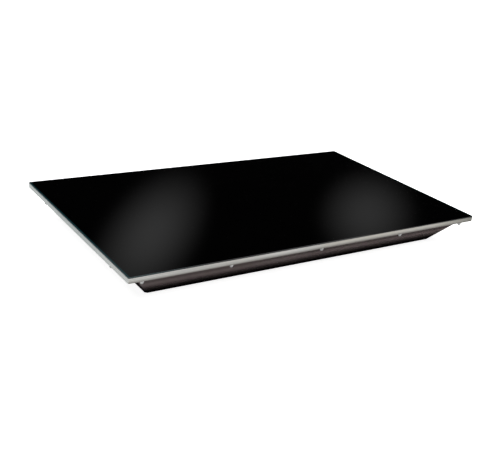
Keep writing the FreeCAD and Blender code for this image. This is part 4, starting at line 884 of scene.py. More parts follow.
FINISHES = (
    GlassFinish(Slot.BLACK_GLASS, (0.0004, 0.0004, 0.00045), (0.0003, 0.0003, 0.00035),
                Pattern.MOTTLE, {"Scale": 9.0, "Detail": 5.0, "Low": 0.35, "High": 0.7},
                smooth=0.055, rough=0.062, relief=0.000002, relief_share=0.05, clouding=0.02,
                fixed={"IOR": 1.5}),
    Finish(Slot.BLACK_SILICONE, (0.009, 0.021, 0.024), (0.005, 0.013, 0.015), Pattern.MOTTLE,
           {"Scale": 160.0}, rough=0.42, relief=0.00005),
    Finish(Slot.SPONGE_SILICONE, (0.3, 0.3, 0.31), (0.22, 0.22, 0.23), Pattern.GRAIN,
           {"Scale": 900.0}, smooth=0.75, rough=0.9, relief=0.0001),
    RimFinish(Slot.STAINLESS, (0.57, 0.565, 0.54), (0.48, 0.475, 0.455), Pattern.MITRED_BRUSH,
              {"Along": 7.0, "Across": 800.0, "Excess": MITRE}, smooth=0.34, rough=0.46,
              metallic=1.0, relief=0.00003, relief_share=0.25, clouding=0.1, cloud_scale=6.0),
    Finish(Slot.PLATED_STEEL, (0.58, 0.6, 0.6), (0.54, 0.56, 0.565), Pattern.MOTTLE,
           {"Scale": 260.0, "Detail": 4.0}, smooth=0.32, rough=0.38, metallic=1.0,
           clouding=0.03, cloud_scale=9.0),
    Finish(Slot.BRIGHT_NUT, (0.49, 0.495, 0.485), (0.40, 0.405, 0.40), Pattern.MOTTLE,
           {"Scale": 300.0}, smooth=0.12, rough=0.22, metallic=1.0, relief=0.00001,
           relief_share=0.15),
    PanFinish(Slot.PAN_STEEL, (0.66, 0.56, 0.555), (0.53, 0.45, 0.445), Pattern.MOTTLE,
              {"Scale": 7.0, "Detail": 6.0, "Low": 0.3, "High": 0.7}, smooth=0.42,
              rough=0.55, relief=0.00004, relief_share=0.2, cloud_scale=2.5,
              metallic=1.0, fixed={"Specular Tint": (0.0, 0.0, 0.0, 1.0)}),
    Finish(Slot.FOIL, (0.8, 0.8, 0.81), (0.62, 0.62, 0.64), Pattern.CRINKLE,
           {"Scale": 45.0}, smooth=0.16, rough=0.3, metallic=1.0, relief=0.0004,
           relief_share=0.35),
    Finish(Slot.CABLE_SILICONE, (0.62, 0.16, 0.1), (0.5, 0.11, 0.07), Pattern.MOTTLE,
           {"Scale": 220.0}, smooth=0.45, rough=0.6, relief=0.00004),
    Finish(Slot.GLASS_WOOL, (0.85, 0.81, 0.62), (0.66, 0.6, 0.4), Pattern.FIBRE,
           {"Along": 45.0, "Across": 700.0}, smooth=0.85, rough=1.0, relief=0.0009,
           relief_share=0.7, fixed={"Sheen Weight": 0.3, "Sheen Roughness": 0.6}),
    Finish(Slot.ALUMINISED, (0.6, 0.61, 0.62), (0.46, 0.47, 0.48), Pattern.SPANGLE,
           {"Scale": 110.0}, smooth=0.32, rough=0.5, metallic=1.0, relief_share=0.1),
    Finish(Slot.PHENOLIC, (0.11, 0.06, 0.038), (0.07, 0.038, 0.025), Pattern.GRAIN,
           {"Scale": 500.0}, smooth=0.38, rough=0.5, relief=0.00003),
    Finish(Slot.DIAL_PRINT, (0.028, 0.028, 0.03), (0.021, 0.021, 0.023), Pattern.GRAIN,
           {"Scale": 2500.0}, smooth=0.35, rough=0.45, relief=0.00001),
    Finish(Slot.BLACK_PLASTIC, (0.024, 0.024, 0.026), (0.016, 0.016, 0.018), Pattern.GRAIN,
           {"Scale": 1600.0}, smooth=0.4, rough=0.55, relief=0.00003),
    Finish(Slot.WHITE_INLAY, (0.86, 0.86, 0.84), (0.78, 0.78, 0.76), Pattern.MOTTLE,
           {"Scale": 400.0}, smooth=0.25, rough=0.35, relief=0.00001),
    Finish(Slot.SWITCH_PLASTIC, (0.018, 0.018, 0.02), (0.013, 0.013, 0.015), Pattern.GRAIN,
           {"Scale": 2600.0}, smooth=0.22, rough=0.34, relief=0.00001),
    Finish(Slot.ROCKER_LENS, (0.6, 0.03, 0.02), (0.4, 0.015, 0.012), Pattern.MOTTLE,
           {"Scale": 120.0, "Low": 0.3, "High": 0.75}, smooth=0.1, rough=0.18,
           relief=0.00001, fixed={"Coat Weight": 0.4, "Coat Roughness": 0.08}),
    Finish(Slot.RED_BUTTON, (0.62, 0.04, 0.03), (0.48, 0.025, 0.02), Pattern.MOTTLE,
           {"Scale": 200.0}, smooth=0.2, rough=0.3, relief=0.00001),
    Finish(Slot.COPPER, (0.72, 0.38, 0.24), (0.5, 0.24, 0.14), Pattern.MOTTLE,
           {"Scale": 60.0, "Detail": 5.0}, smooth=0.22, metallic=1.0),
    Finish(Slot.WHITE_CERAMIC, (0.86, 0.84, 0.78), (0.76, 0.73, 0.66), Pattern.GRAIN,
           {"Scale": 1200.0}, smooth=0.55, rough=0.7, relief=0.00004),
    Finish(Slot.BRASS, (0.72, 0.55, 0.26), (0.56, 0.41, 0.18), Pattern.MOTTLE,
           {"Scale": 150.0}, smooth=0.18, rough=0.32, metallic=1.0, relief=0.00001),
    Finish(Slot.WIRE_SILICONE, (0.16, 0.2, 0.34), (0.11, 0.14, 0.26), Pattern.MOTTLE,
           {"Scale": 180.0}, smooth=0.42, rough=0.55, relief=0.00004),
)


@dataclass
class Wardrobe:
    """Gives each slot's material, and builds it when it is first asked for."""

    finishes: dict[Slot, Finish]
    shelf: PatternShelf = field(default_factory=PatternShelf)
    materials: dict[Slot, bpy.types.Material] = field(default_factory=dict)

    def material(self, slot: Slot) -> bpy.types.Material:
        """Gives the material of a slot.

        Args:
            slot: the slot.

        Returns:
            Its material.
        """
        if slot not in self.materials:
            self.materials[slot] = self.finishes[slot].build(self.shelf)
        return self.materials[slot]


# ---------------------------------------- bench

@dataclass
class Bench:
    """Where nodes are dressed and surfaces become pieces that ride on the bodies.

    Moulded copies stay crisp over the first fold and are rounded over the second, in degrees.
    """

    nodes: dict[str, bpy.types.Object]
    wardrobe: Wardrobe
    crisp_fold: float = 50.0
    rounded_fold: float = 40.0
    rounding_steps: int = 3

    @staticmethod
    def extent(node: str) -> tuple[Array, Array]:
        """Lowest and highest corner of a node at rest, in mm.

        Args:
            node: the node's name.

        Returns:
            The two corners.
        """
        low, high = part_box(node)
        return np.array(low) / MM, np.array(high) / MM

    def size(self, node: str) -> Array:
        """Size of a node's box at rest along x, y and z, in mm."""
        low, high = self.extent(node)
        return high - low

    def station(self, node: str, facing: Facing = Facing.REAR) -> Station:
        """Station in the middle of a node, on the side that the node grows from.

        Args:
            node: the node's name.
            facing: the way that it faces.

        Returns:
            The station.
        """
        low, high = self.extent(node)
        middle = (low + high) / 2
        starts = {Facing.UP: (middle[0], middle[1], low[2]),
                  Facing.DOWN: (middle[0], middle[1], high[2]),
                  Facing.REAR: (middle[0], low[1], middle[2])}
        return Station(starts[facing], facing)

    def dress(self, slot: Slot, *names: str) -> None:
        """Gives carried nodes the material of a slot.

        Args:
            slot: the slot.
            *names: the nodes.
        """
        material = self.wardrobe.material(slot)
        for name in names:
            node = self.nodes[name]
            for place in node.material_slots:
                place.material = material
            if not node.material_slots:
                node.data.materials.append(material)
            LOG.info("dressed %s in %s", name, slot.value)

    def add(self, name: str, surface: Surface, slot: Slot, carrier: str,
            replaces: bool = True, sharp: float = 30.0) -> bpy.types.Object:
        """Makes a piece from a surface and lets it ride on the body of a node.

        Args:
            name: the piece's name.
            surface: its surface, in mm, in the frame.
            slot: the slot of its finish.
            carrier: the node that it stands for or sits on.
            replaces: whether it stands for that node.
            sharp: edges that fold by more than this many degrees stay crisp.

        Returns:
            The piece.
        """
        piece = bpy.data.objects.new(name, surface.to_mesh(name, sharp))
        self.settle(piece, slot, carrier, replaces)
        return piece

    def settle(self, piece: bpy.types.Object, slot: Slot, carrier: str,
               replaces: bool) -> None:
        """Links a piece, dresses it and lets it ride.

        Args:
            piece: the piece.
            slot: the slot of its finish.
            carrier: the node that it stands for or sits on.
            replaces: whether it stands for that node.
        """
        link(piece)
        piece.data.materials.clear()
        piece.data.materials.append(self.wardrobe.material(slot))
        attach(piece, self.nodes[carrier]["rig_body"])
        if replaces:
            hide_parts(carrier)
        LOG.info("made %s, %d faces, on %s", piece.name, len(piece.data.polygons), carrier)

    def soften(self, name: str, node: str, slot: Slot, width: float) -> None:
        """Copies a node with its flat faces joined, and rounds its edges as moulding does.

        Args:
            name: the piece's name.
            node: the node that it stands for.
            slot: the slot of its finish.
            width: width of the rounding, in mm.
        """
        mesh = self.nodes[node].data.copy()
        mesh.name = name
        clean_mesh(mesh, join_flat=True)
        piece = bpy.data.objects.new(name, mesh)
        self.settle(piece, slot, node, True)
        mesh.shade_smooth()
        mesh.set_sharp_from_angle(angle=math.radians(self.crisp_fold))
        bevel = piece.modifiers.new("rounding", "BEVEL")
        bevel.width = width * MM
        bevel.segments = self.rounding_steps
        bevel.limit_method = "ANGLE"
        bevel.angle_limit = math.radians(self.rounded_fold)
        bevel.harden_normals = True


# ---------------------------------------- small hardware

@dataclass(frozen=True)
class HexNut:
    """Flat hexagon nut, chamfered on both faces and countersunk at its bore. Sizes in mm."""

    flats: float
    height: float
    bore: float
    face_share: float = 0.93
    lead_in: float = 0.3
    columns: int = 72

    def surface(self, stations: Iterable[Station]) -> Surface:
        """Turned rows: bore, face, the curve where the chamfer meets the hexagon, flats.

        Args:
            stations: where the nuts stand, each at its lower face.

        Returns:
            The surface of all of them.
        """
        angles = round_angles(self.columns)
        edge, face, drop = chamfered_hexagon(angles, self.flats, self.face_share)
        rows = [(self.bore, self.lead_in), (self.bore + self.lead_in, 0), (face, 0),
                (edge, drop), (edge, self.height - drop), (face, self.height),
                (self.bore + self.lead_in, self.height), (self.bore, self.height - self.lead_in)]
        return Surface().add_turned(rows, angles, stations, wrap_rows=True)

    @classmethod
    def add_on_bushing(cls, bench: Bench, name: str, node: str) -> None:
        """Makes the nut of a control's bushing, in the size of the nut's node.

        Args:
            bench: the bench.
            name: the piece's name.
            node: the nut's node.
        """
        _, height, flats = bench.size(node)
        nut = cls(flats=flats, height=height, bore=BUSHING_BORE)
        bench.add(name, nut.surface([bench.station(node)]), Slot.PLATED_STEEL,
                  node, sharp=25)


@dataclass(frozen=True)
class CapNut:
    """Domed cap nut: chamfered hexagon, collar, half ball and a blind bore. Sizes in mm."""

    flats: float = 8.0
    hex_height: float = 4.0
    height: float = 8.5
    dome: float = 3.7
    bore: float = 2.55
    bore_depth: float = 6.8
    face_share: float = 0.94
    lead_in: float = 0.35
    neck: float = 0.25
    columns: int = 48

    def surface(self, stations: Iterable[Station]) -> Surface:
        """Turned rows from the blind bore round the hexagon and up the dome to its pole.

        Args:
            stations: where the nuts stand, each at its open face.

        Returns:
            The surface of all of them.
        """
        angles = round_angles(self.columns)
        edge, face, drop = chamfered_hexagon(angles, self.flats, self.face_share)
        waist = self.dome - self.neck
        rows = [(0, self.bore_depth), (self.bore, self.bore_depth),
                (self.bore, self.lead_in), (self.bore + self.lead_in, 0), (face, 0),
                (edge, drop), (edge, self.hex_height - drop), (face, self.hex_height),
                (waist, self.hex_height), (waist, self.hex_height + self.neck),
                (self.dome, self.hex_height + 2 * self.neck)]
        rows += arc((0, self.height - self.dome), self.dome, 0, 90, 10)
        return Surface().add_turned(rows, angles, stations)


class Drive(Enum):
    """What the screwdriver turns."""

    CROSS = "cross"
    SLOT = "slot"


@dataclass(frozen=True)
class ScrewHead:
    """Screw with a low rounded head, a drive cut into it and a shank. Sizes in mm."""

    radius: float
    height: float
    shank: float
    length: float
    drive: Drive
    drive_half: float = 0.11
    drive_reach: float = 0.55
    drive_depth: float = 0.55
    wall_share: float = 0.45
    slope: float = 0.03
    steps: int = 10

    def cut_mask(self, first: Array, second: Array) -> Array:
        """Depth of the drive from 0 to 1: steep ramps at the edges of one slot or of two.

        Args:
            first: coordinate across the head, from -1 to 1.
            second: the other coordinate.

        Returns:
            The mask.
        """
        def within(value: Array, half: float) -> Array:
            """1 inside the half width, 0 outside it, with a steep ramp between."""
            return np.clip((half + self.slope - np.abs(value)) / self.slope, 0, 1)

        if self.drive is Drive.SLOT:
            return within(second, self.drive_half)
        wings = (within(first, self.drive_half) * within(second, self.drive_reach),
                 within(second, self.drive_half) * within(first, self.drive_reach))
        return np.maximum(*wings)

    def surface(self, stations: Iterable[Station]) -> Surface:
        """A square grid drawn out to a disc, raised to a dome and cut by the drive.

        A point u, v of the square goes to u times the root of 1 - v squared over 2, and v
        likewise, so that the square's edge becomes the disc's. The dome falls with the fourth
        power of the radius. Under it come the wall, the seat and the shank as turned rows.

        Args:
            stations: where the screws stand, each at the seat of its head.

        Returns:
            The surface of all of them.
        """
        marks = [self.drive_half, self.drive_half + self.slope]
        if self.drive is Drive.CROSS:
            marks += [self.drive_reach, self.drive_reach + self.slope]
        line = np.linspace(0, 1, self.steps + 1)
        line = np.unique(np.round(np.concatenate([line, marks]), 5))
        line = np.concatenate([-line[:0:-1], line])
        first, second = np.meshgrid(line, line, indexing="ij")
        x = first * np.sqrt(1 - second ** 2 / 2)
        y = second * np.sqrt(1 - first ** 2 / 2)
        wall = self.height * self.wall_share
        dome = wall + (self.height - wall) * (1 - (x ** 2 + y ** 2) ** 2)
        z = dome - self.drive_depth * self.height * self.cut_mask(first, second)
        top = np.stack([x * self.radius, y * self.radius, z], axis=-1)
        ring = np.concatenate([top[:-1, 0], top[-1, :-1], top[:0:-1, -1], top[0, :0:-1]])
        angles = np.arctan2(ring[:, 1], ring[:, 0])
        rows = [(self.radius, ring[:, 2]), (self.radius, 0)]
        if self.length > 0:
            rows += [(self.shank, 0), (self.shank, self.shank - self.length)]
            rows += [(self.shank / 4, -self.length), (0, -self.length)]
        else:
            rows += [(0, 0)]
        under = turned(rows, angles)
        surface = Surface()
        for station in stations:
            surface.add_grid(station.carry(top))
            surface.add_grid(station.carry(under), wrap_columns=True)
        return surface


# ---------------------------------------- glass and rim

@dataclass
class Assembly:
    """Part of the tray: the nodes that it dresses, by slot, and what it makes at its bench."""

    bench: Bench
    dressing: ClassVar[dict[Slot, tuple[str, ...]]] = {}

    def build(self) -> None:
        """Dresses the nodes, then makes the pieces."""
        LOG.info("building %s", type(self).__name__)
        for slot, names in self.dressing.items():
            self.bench.dress(slot, *names)
        self.make()

    def make(self) -> None:
        """Makes the pieces: none, unless the sub-assembly says otherwise."""


class GlassTop(Assembly):
    """Black glass plate with its sealing bead and the gasket that it lies on."""

    dressing = {Slot.BLACK_GLASS: ("glass_top",), Slot.BLACK_SILICONE: ("edge_seal",),
                Slot.SPONGE_SILICONE: ("glass_gasket",)}


@dataclass
class RimFrame(Assembly):
    """Band round the glass with the studs, washers and cap nuts that hold the pan."""

    dressing = {Slot.STAINLESS: ("rim_frame",),
                Slot.PLATED_STEEL: ("rim_studs", "stud_washers")}
    nut: CapNut = CapNut()
    stud_pitch: float = 228.0
    stud_outer: float = 424.0
    stud_end: float = 177.0

    def nut_stations(self) -> list[Station]:
        """Where the cap nuts hang: five on each long side, two on each short side.

        Returns:
            Their stations.
        """
        high = self.bench.extent("cap_nuts")[1]
        x_end = high[0] - hexagon_radius(np.zeros(1), self.nut.flats)[0]
        y_side = high[1] - self.nut.flats / 2
        along = (-self.stud_outer, -self.stud_pitch, 0.0, self.stud_pitch, self.stud_outer)
        places = [(x, sign * y_side) for sign in (-1, 1) for x in along]
        places += [(sign * x_end, side * self.stud_end) for sign in (-1, 1) for side in (-1, 1)]
        return [Station((x, y, high[2]), Facing.DOWN) for x, y in places]

    def make(self) -> None:
        """Makes the cap nuts."""
        self.bench.add("cap_nut_set", self.nut.surface(self.nut_stations()), Slot.BRIGHT_NUT,
                       "cap_nuts", sharp=28)


# ---------------------------------------- pan and what it holds

class LowerPan(Assembly):
    """Flared sheet pan with the channels and the plate that carry the insulation."""

    dressing = {Slot.PAN_STEEL: ("lower_pan",),
                Slot.ALUMINISED: ("support_channels", "retainer_plate")}


class Heater(Assembly):
    """Foil under the glass with its heating cable and the two leads."""

    dressing = {Slot.FOIL: ("heater_foil",),
                Slot.CABLE_SILICONE: ("heating_cable", "heater_leads")}


@dataclass
class Insulation(Assembly):
    """Glass-wool blanket with grooves for the bulbs, and the screws of its plate. In mm."""

    notch: tuple[float, float, float] = (19.0, 205.0, 204.5)
    groove_half: float = 2.7
    groove_gap: float = 0.05
    well_radius: float = 3.7
    well_depth: float = 2.4
    edge_round: float = 3.0
    fuzz: float = 0.5
    wave: float = 46.0
    wall_wave: float = 30.0
    near_notch: float = 0.4
    coarse_step: float = 12.0
    steep: float = 0.25
    screw: ScrewHead = ScrewHead(radius=3.6, height=2.2, shank=1.8, length=8.0,
                                 drive=Drive.CROSS)

    def samples(self, low: float, high: float, centres: Iterable[float],
                half: float) -> Array:
        """Coordinates of the grid lines along one axis: even steps, closer where it matters.

        Args:
            low: first coordinate, in mm.
            high: last coordinate, in mm.
            centres: middles of the grooves or wells along this axis.
            half: half the width of what lies there.

        Returns:
            The coordinates in rising order.
        """
        edge = self.edge_round * np.array([0, 0.15, 0.4, 0.7, 1.0])
        near = half + self.steep * np.array([0, 1])
        lines = [np.linspace(low, high, int((high - low) / self.coarse_step)), low + edge,
                 high - edge]
        for centre in centres:
            lines.append(centre + np.concatenate([-near, np.linspace(-half, half, 5), near]))
        return np.unique(np.round(np.concatenate(lines), 3))

    def surface(self) -> Surface:
        """Closed slab: a top and an underside over one grid, and walls along their outline.

        The top falls by a quarter round near the outline, by the grooves' depth inside the
        grooves, and by a soft ripple everywhere. The underside has a well over each screw
        head. The cells in the rear notch are left out, and the walls bulge in and out a little.

        Returns:
            The slab's surface.
        """
        low, high = self.bench.extent("insulation_blanket")
        bulbs = [self.bench.extent(name) for name in ("thermostat_bulb", "limiter_bulb")]
        bulb_x = [(start[0] + end[0]) / 2 for start, end in bulbs]
        groove_start = bulbs[0][0][1] - self.groove_half
        groove_floor = bulbs[0][0][2] - self.groove_gap
        heads = self.bench.extent("retainer_screws")
        head_x = (heads[0][0] + self.screw.radius) * np.array([1, 0, -1])
        head_y = (heads[0][1] + self.screw.radius) * np.array([1, 0, -1])
        left, right, front = self.notch
        xs = self.samples(low[0], high[0], [*bulb_x, *head_x], self.groove_half)
        steps = self.edge_round * self.near_notch * np.arange(3)
        xs = np.unique(np.concatenate([xs, left - steps, right + steps]))
        ys = self.samples(low[1], high[1], [*head_y], self.well_radius)
        ys = np.unique(np.concatenate([ys, [groove_start, groove_start - self.steep],
                                       front - steps]))
        x, y = np.meshgrid(xs, ys, indexing="ij")

        from_notch = np.hypot(np.maximum(0, np.maximum(left - x, x - right)),
                              np.maximum(0, front - y))
        inside = np.minimum.reduce([x - low[0], high[0] - x, y - low[1], high[1] - y,
                                    from_notch])
        rim = np.clip(inside, 0, self.edge_round)
        shoulder = self.edge_round - np.sqrt(self.edge_round ** 2
                                             - (self.edge_round - rim) ** 2)
        top = high[2] - shoulder - self.fuzz * (0.5 + 0.5 * ripple(x, y, self.wave))
        behind = np.clip((y - groove_start) / self.steep + 1, 0, 1)
        for centre in bulb_x:
            cut = np.clip((self.groove_half + self.steep - np.abs(x - centre)) / self.steep,
                          0, 1) * behind
            top = top * (1 - cut) + np.minimum(top, groove_floor) * cut
        bottom = low[2] + shoulder / 2
        for head in head_x:
            for side in head_y:
                reach = np.hypot(x - head, y - side)
                well = self.well_depth * np.clip(self.well_radius + 1 - reach, 0, 1)
                bottom = np.maximum(bottom, low[2] + well)

        cells_x, cells_y = (xs[1:] + xs[:-1]) / 2, (ys[1:] + ys[:-1]) / 2
        keep = ~((cells_x[:, None] > left) & (cells_x[:, None] < right)
                 & (cells_y[None, :] > front))
        surface = Surface()
        for height in (top, bottom):
            surface.add_grid(np.stack([x, y, height], axis=-1), keep=keep)
        return surface.add_grid(self.walls(xs, ys, top, bottom), wrap_columns=True)

    def walls(self, xs: Array, ys: Array, top: Array, bottom: Array) -> Array:
        """Walls along the outline, on the same grid lines as the top and the underside.

        Each column goes from the underside to the top at one point of the outline, and its
        middle points move inwards by a ripple.

        Args:
            xs: grid lines along x.
            ys: grid lines along y.
            top: height of the top on the grid.
            bottom: height of the underside on the grid.

        Returns:
            The walls' grid.
        """
        left, right, front = self.notch
        at_left, at_right = (int(np.argmin(np.abs(xs - edge))) for edge in (left, right))
        at_front = int(np.argmin(np.abs(ys - front)))
        last_x, last_y = len(xs) - 1, len(ys) - 1
        corners = [(0, 0), (last_x, 0), (last_x, last_y), (at_right, last_y),
                   (at_right, at_front), (at_left, at_front), (at_left, last_y), (0, last_y),
                   (0, 0)]
        runs, inwards = [], []
        for (i, j), (k, m) in zip(corners[:-1], corners[1:]):
            count = abs(k - i) + abs(m - j)
            run = np.column_stack([np.linspace(i, k, count + 1), np.linspace(j, m, count + 1)])
            runs.append(run[:-1].round().astype(int))
            direction = np.array([-np.sign(m - j), np.sign(k - i)], float)
            inwards.append(np.tile(direction, (count, 1)))
        index, inward = np.concatenate(runs), np.concatenate(inwards)
        inward[np.cumsum([0] + [len(run) for run in runs[:-1]])] = 0
        x, y = xs[index[:, 0]], ys[index[:, 1]]
        base, crest = bottom[index[:, 0], index[:, 1]], top[index[:, 0], index[:, 1]]
        share = np.linspace(0, 1, 7)[:, None]
        height = base + (crest - base) * share
        swell = (1 + ripple(x + y, height, self.wall_wave)) / 2
        depth = self.fuzz * np.sin(math.pi * share) * swell
        return np.stack([x + depth * inward[:, 0], y + depth * inward[:, 1], height], axis=-1)

    def make(self) -> None:
        """Makes the blanket and the screws under it."""
        blanket = self.bench.add("glass_wool_blanket", self.surface(), Slot.GLASS_WOOL,
                                 "insulation_blanket", sharp=60)
        high = self.bench.extent("retainer_screws")[1]
        x_reach, y_reach = high[:2] - self.screw.radius
        seat = high[2] - self.screw.height
        stations = [Station((column * x_reach, row * y_reach, seat), Facing.UP)
                    for column in (-1, 0, 1) for row in (-1, 0, 1)]
        self.bench.add("retainer_screw_set", self.screw.surface(stations), Slot.PLATED_STEEL,
                       "retainer_screws")


# ---------------------------------------- controls

@dataclass
class ControlBay(Assembly):
    """Sheet bay in the rear wall with its face plate and that plate's screws. In mm."""

    dressing = {Slot.ALUMINISED: ("control_bay",), Slot.PLATED_STEEL: ("control_panel",)}
    screw: ScrewHead = ScrewHead(radius=2.9, height=1.8, shank=1.5, length=6.0,
                                 drive=Drive.CROSS)

    def make(self) -> None:
        """Makes the screws."""
        low, high = self.bench.extent("panel_screws")
        inset = self.screw.radius
        seat = high[1] - self.screw.height
        stations = [Station((x, seat, z), Facing.REAR)
                    for x in (low[0] + inset, high[0] - inset)
                    for z in (low[2] + inset, high[2] - inset)]
        self.bench.add("panel_screw_set", self.screw.surface(stations), Slot.PLATED_STEEL,
                       "panel_screws")


@dataclass
class Thermostat(Assembly):
    """Thermostat with its nut, shaft, bulb, printed dial and fluted knob. Sizes in mm."""

    dressing = {Slot.DIAL_PRINT: ("dial_plate",), Slot.PLATED_STEEL: ("thermostat_shaft",),
                Slot.WHITE_INLAY: ("knob_pointer",),
                Slot.COPPER: ("thermostat_bulb", "thermostat_capillary")}
    knob_radius: float = 20.0
    skirt_edge: float = 1.44
    skirt: float = 2.4
    grip_radius: float = 15.5
    face_radius: float = 14.3
    knob_height: float = 15.0
    edge_round: float = 0.9
    lead_in: float = 0.2
    foot: float = 0.25
    skirt_round: float = 0.45
    root: float = 0.6
    root_rows: Triple = (0.02, 0.05, 0.4)
    dish: float = 0.25
    flutes: int = 16
    flute_radius: float = 1.8
    flute_offset: float = 0.81
    columns_a_flute: int = 18
    soft: float = 0.14
    recess_radius: float = 8.5
    recess: float = 3.4
    shaft_radius: float = 3.0
    shaft_end: float = 11.15
    print_height: float = 0.04
    number_ring: float = 22.6
    number_size: float = 1.9
    tick_ring: float = 20.9
    long_tick: tuple[float, float] = (0.45, 0.16)
    short_tick: tuple[float, float] = (0.25, 0.1)
    ticks_a_mark: int = 3
    travel: float = 300.0
    marks: int = 10

    def knob(self, station: Station) -> Surface:
        """Turned knob whose grip is hollowed by flutes.

        At an angle d from a flute's middle, the flute's wall stands at D cos d less the root
        of R squared less (D sin d) squared, D being the distance of its centre and R its
        radius. The grip is the softened smaller of that and of the body's radius.

        Args:
            station: where the knob stands, at its seat.

        Returns:
            The knob's surface.
        """
        angles = round_angles(self.flutes * self.columns_a_flute)
        pitch = FULL_TURN / self.flutes
        offset = (angles + pitch / 2) % pitch - pitch / 2
        distance = self.grip_radius + self.flute_offset
        inside = self.flute_radius ** 2 - (distance * np.sin(offset)) ** 2
        wall = np.where(inside > 0, distance * np.cos(offset) - np.sqrt(np.abs(inside)),
                        distance + self.flute_radius)

        crest = self.knob_height - self.edge_round

        def fluted(radius: float) -> Array:
            """Softened smaller of a body's radius and the flutes' wall."""
            return -self.soft * np.log(np.exp(-(radius - wall) / self.soft) + 1) + radius

        def grip(height: float) -> float:
            """Radius of the tapered grip at a height over the seat."""
            share = (height - self.skirt) / (crest - self.skirt)
            return self.grip_radius + (self.face_radius - self.grip_radius) * share

        rows: list[Row] = [(0, self.shaft_end), (self.shaft_radius, self.shaft_end),
                           (self.shaft_radius, self.recess), (self.recess_radius, self.recess),
                           (self.recess_radius, self.lead_in),
                           (self.recess_radius + self.lead_in, 0),
                           (self.knob_radius - self.foot, 0), (self.knob_radius, self.foot)]
        rows += arc((self.knob_radius - self.skirt_round, self.skirt_edge - self.skirt_round),
                    self.skirt_round, 0, 75, 4)
        base, start, flank = (self.skirt + rise for rise in self.root_rows)
        rows += [(self.grip_radius + self.root, self.skirt), (self.grip_radius, base),
                 (fluted(self.grip_radius), start)]
        rows += [(fluted(grip(height)), height) for height in np.linspace(flank, crest, 6)]
        rows += [(fluted(radius), height)
                 for radius, height in arc((self.face_radius - self.edge_round, crest),
                                           self.edge_round, 15, 90, 5)]
        inner = self.face_radius - self.edge_round - self.root
        rows += [(inner * share, self.knob_height - self.dish * (1 - share ** 2))
                 for share in np.linspace(1, 0, 8)]
        return Surface().add_turned(rows, angles, [station])

    def dial_angle(self, share: float) -> float:
        """Angle clockwise from the top, in radians, at a share of the knob's travel."""
        return math.radians(self.travel * share)

    def ticks(self, station: Station) -> Surface:
        """Short raised bars round the knob: three to each number, the numbered one longer.

        Args:
            station: where the dial stands, at its face.

        Returns:
            The bars' surface.
        """
        surface = Surface()
        count = self.ticks_a_mark * self.marks
        for index in range(count + 1):
            angle = self.dial_angle(index / count)
            numbered = index % self.ticks_a_mark == 0
            half_length, half_width = self.long_tick if numbered else self.short_tick
            out = np.array([math.sin(angle), math.cos(angle), 0])
            side = np.array([math.cos(angle), -math.sin(angle), 0])
            along = self.tick_ring + np.array([-half_length, half_length])
            across = np.array([-half_width, half_width])
            up = np.array([0.0, self.print_height])
            corners = (along[:, None, None, None] * out + across[None, :, None, None] * side
                       + up[None, None, :, None] * np.array([0, 0, 1])).reshape(8, 3)
            surface.faces.append(np.array([[0, 1, 3, 2], [4, 6, 7, 5], [0, 4, 5, 1],
                                           [2, 3, 7, 6], [0, 2, 6, 4], [1, 5, 7, 3]])
                                 + 8 * index)
            surface.points.append(station.carry(corners))
        return surface

    def add_numbers(self, station: Station) -> None:
        """Makes the plain numbers round the dial, as one raised mesh.

        Each number is a text that becomes a mesh in its own axes. Its points are then centred,
        moved out along its angle and carried to the dial.

        Args:
            station: where the dial stands, at its face.
        """
        points: list[Array] = []
        faces: list[list[int]] = []
        for index in range(self.marks + 1):
            curve = bpy.data.curves.new(f"dial_number_{index}", "FONT")
            curve.body = str(index)
            curve.size = self.number_size
            curve.extrude = self.print_height / 2
            curve.resolution_u = 3
            text = bpy.data.objects.new(curve.name, curve)
            mesh = bpy.data.meshes.new_from_object(text)
            local = np.empty(len(mesh.vertices) * 3)
            mesh.vertices.foreach_get("co", local)
            local = local.reshape(-1, 3)
            local[:, :2] -= (local[:, :2].min(axis=0) + local[:, :2].max(axis=0)) / 2
            local[:, 2] += self.print_height / 2
            angle = self.dial_angle(index / self.marks)
            local[:, 0] += self.number_ring * math.sin(angle)
            local[:, 1] += self.number_ring * math.cos(angle)
            start = sum(len(part) for part in points)
            faces += [[corner + start for corner in face.vertices] for face in mesh.polygons]
            points.append(station.carry(local))
            bpy.data.objects.remove(text)
            bpy.data.curves.remove(curve)
            bpy.data.meshes.remove(mesh)
        joined = bpy.data.meshes.new("dial_numbers")
        joined.from_pydata((np.concatenate(points) * MM).tolist(), [], faces)
        clean_mesh(joined)
        self.bench.settle(bpy.data.objects.new("dial_numbers", joined), Slot.WHITE_INLAY,
                          "dial_plate", False)

    def make(self) -> None:
        """Makes the case, nut, knob and dial marks."""
        self.bench.soften("thermostat_case", "thermostat_body", Slot.PHENOLIC, 0.5)
        HexNut.add_on_bushing(self.bench, "thermostat_hex_nut", "thermostat_nut")
        seat = self.bench.station("control_knob")
        self.bench.add("fluted_knob", self.knob(seat), Slot.BLACK_PLASTIC, "control_knob",
                       sharp=35)
        dial = self.bench.station("dial_plate")
        face = Station((dial.place[0], self.bench.extent("dial_plate")[1][1], dial.place[2]),
                       Facing.REAR)
        self.bench.add("dial_ticks", self.ticks(face), Slot.WHITE_INLAY, "dial_plate",
                       replaces=False)
        self.add_numbers(face)


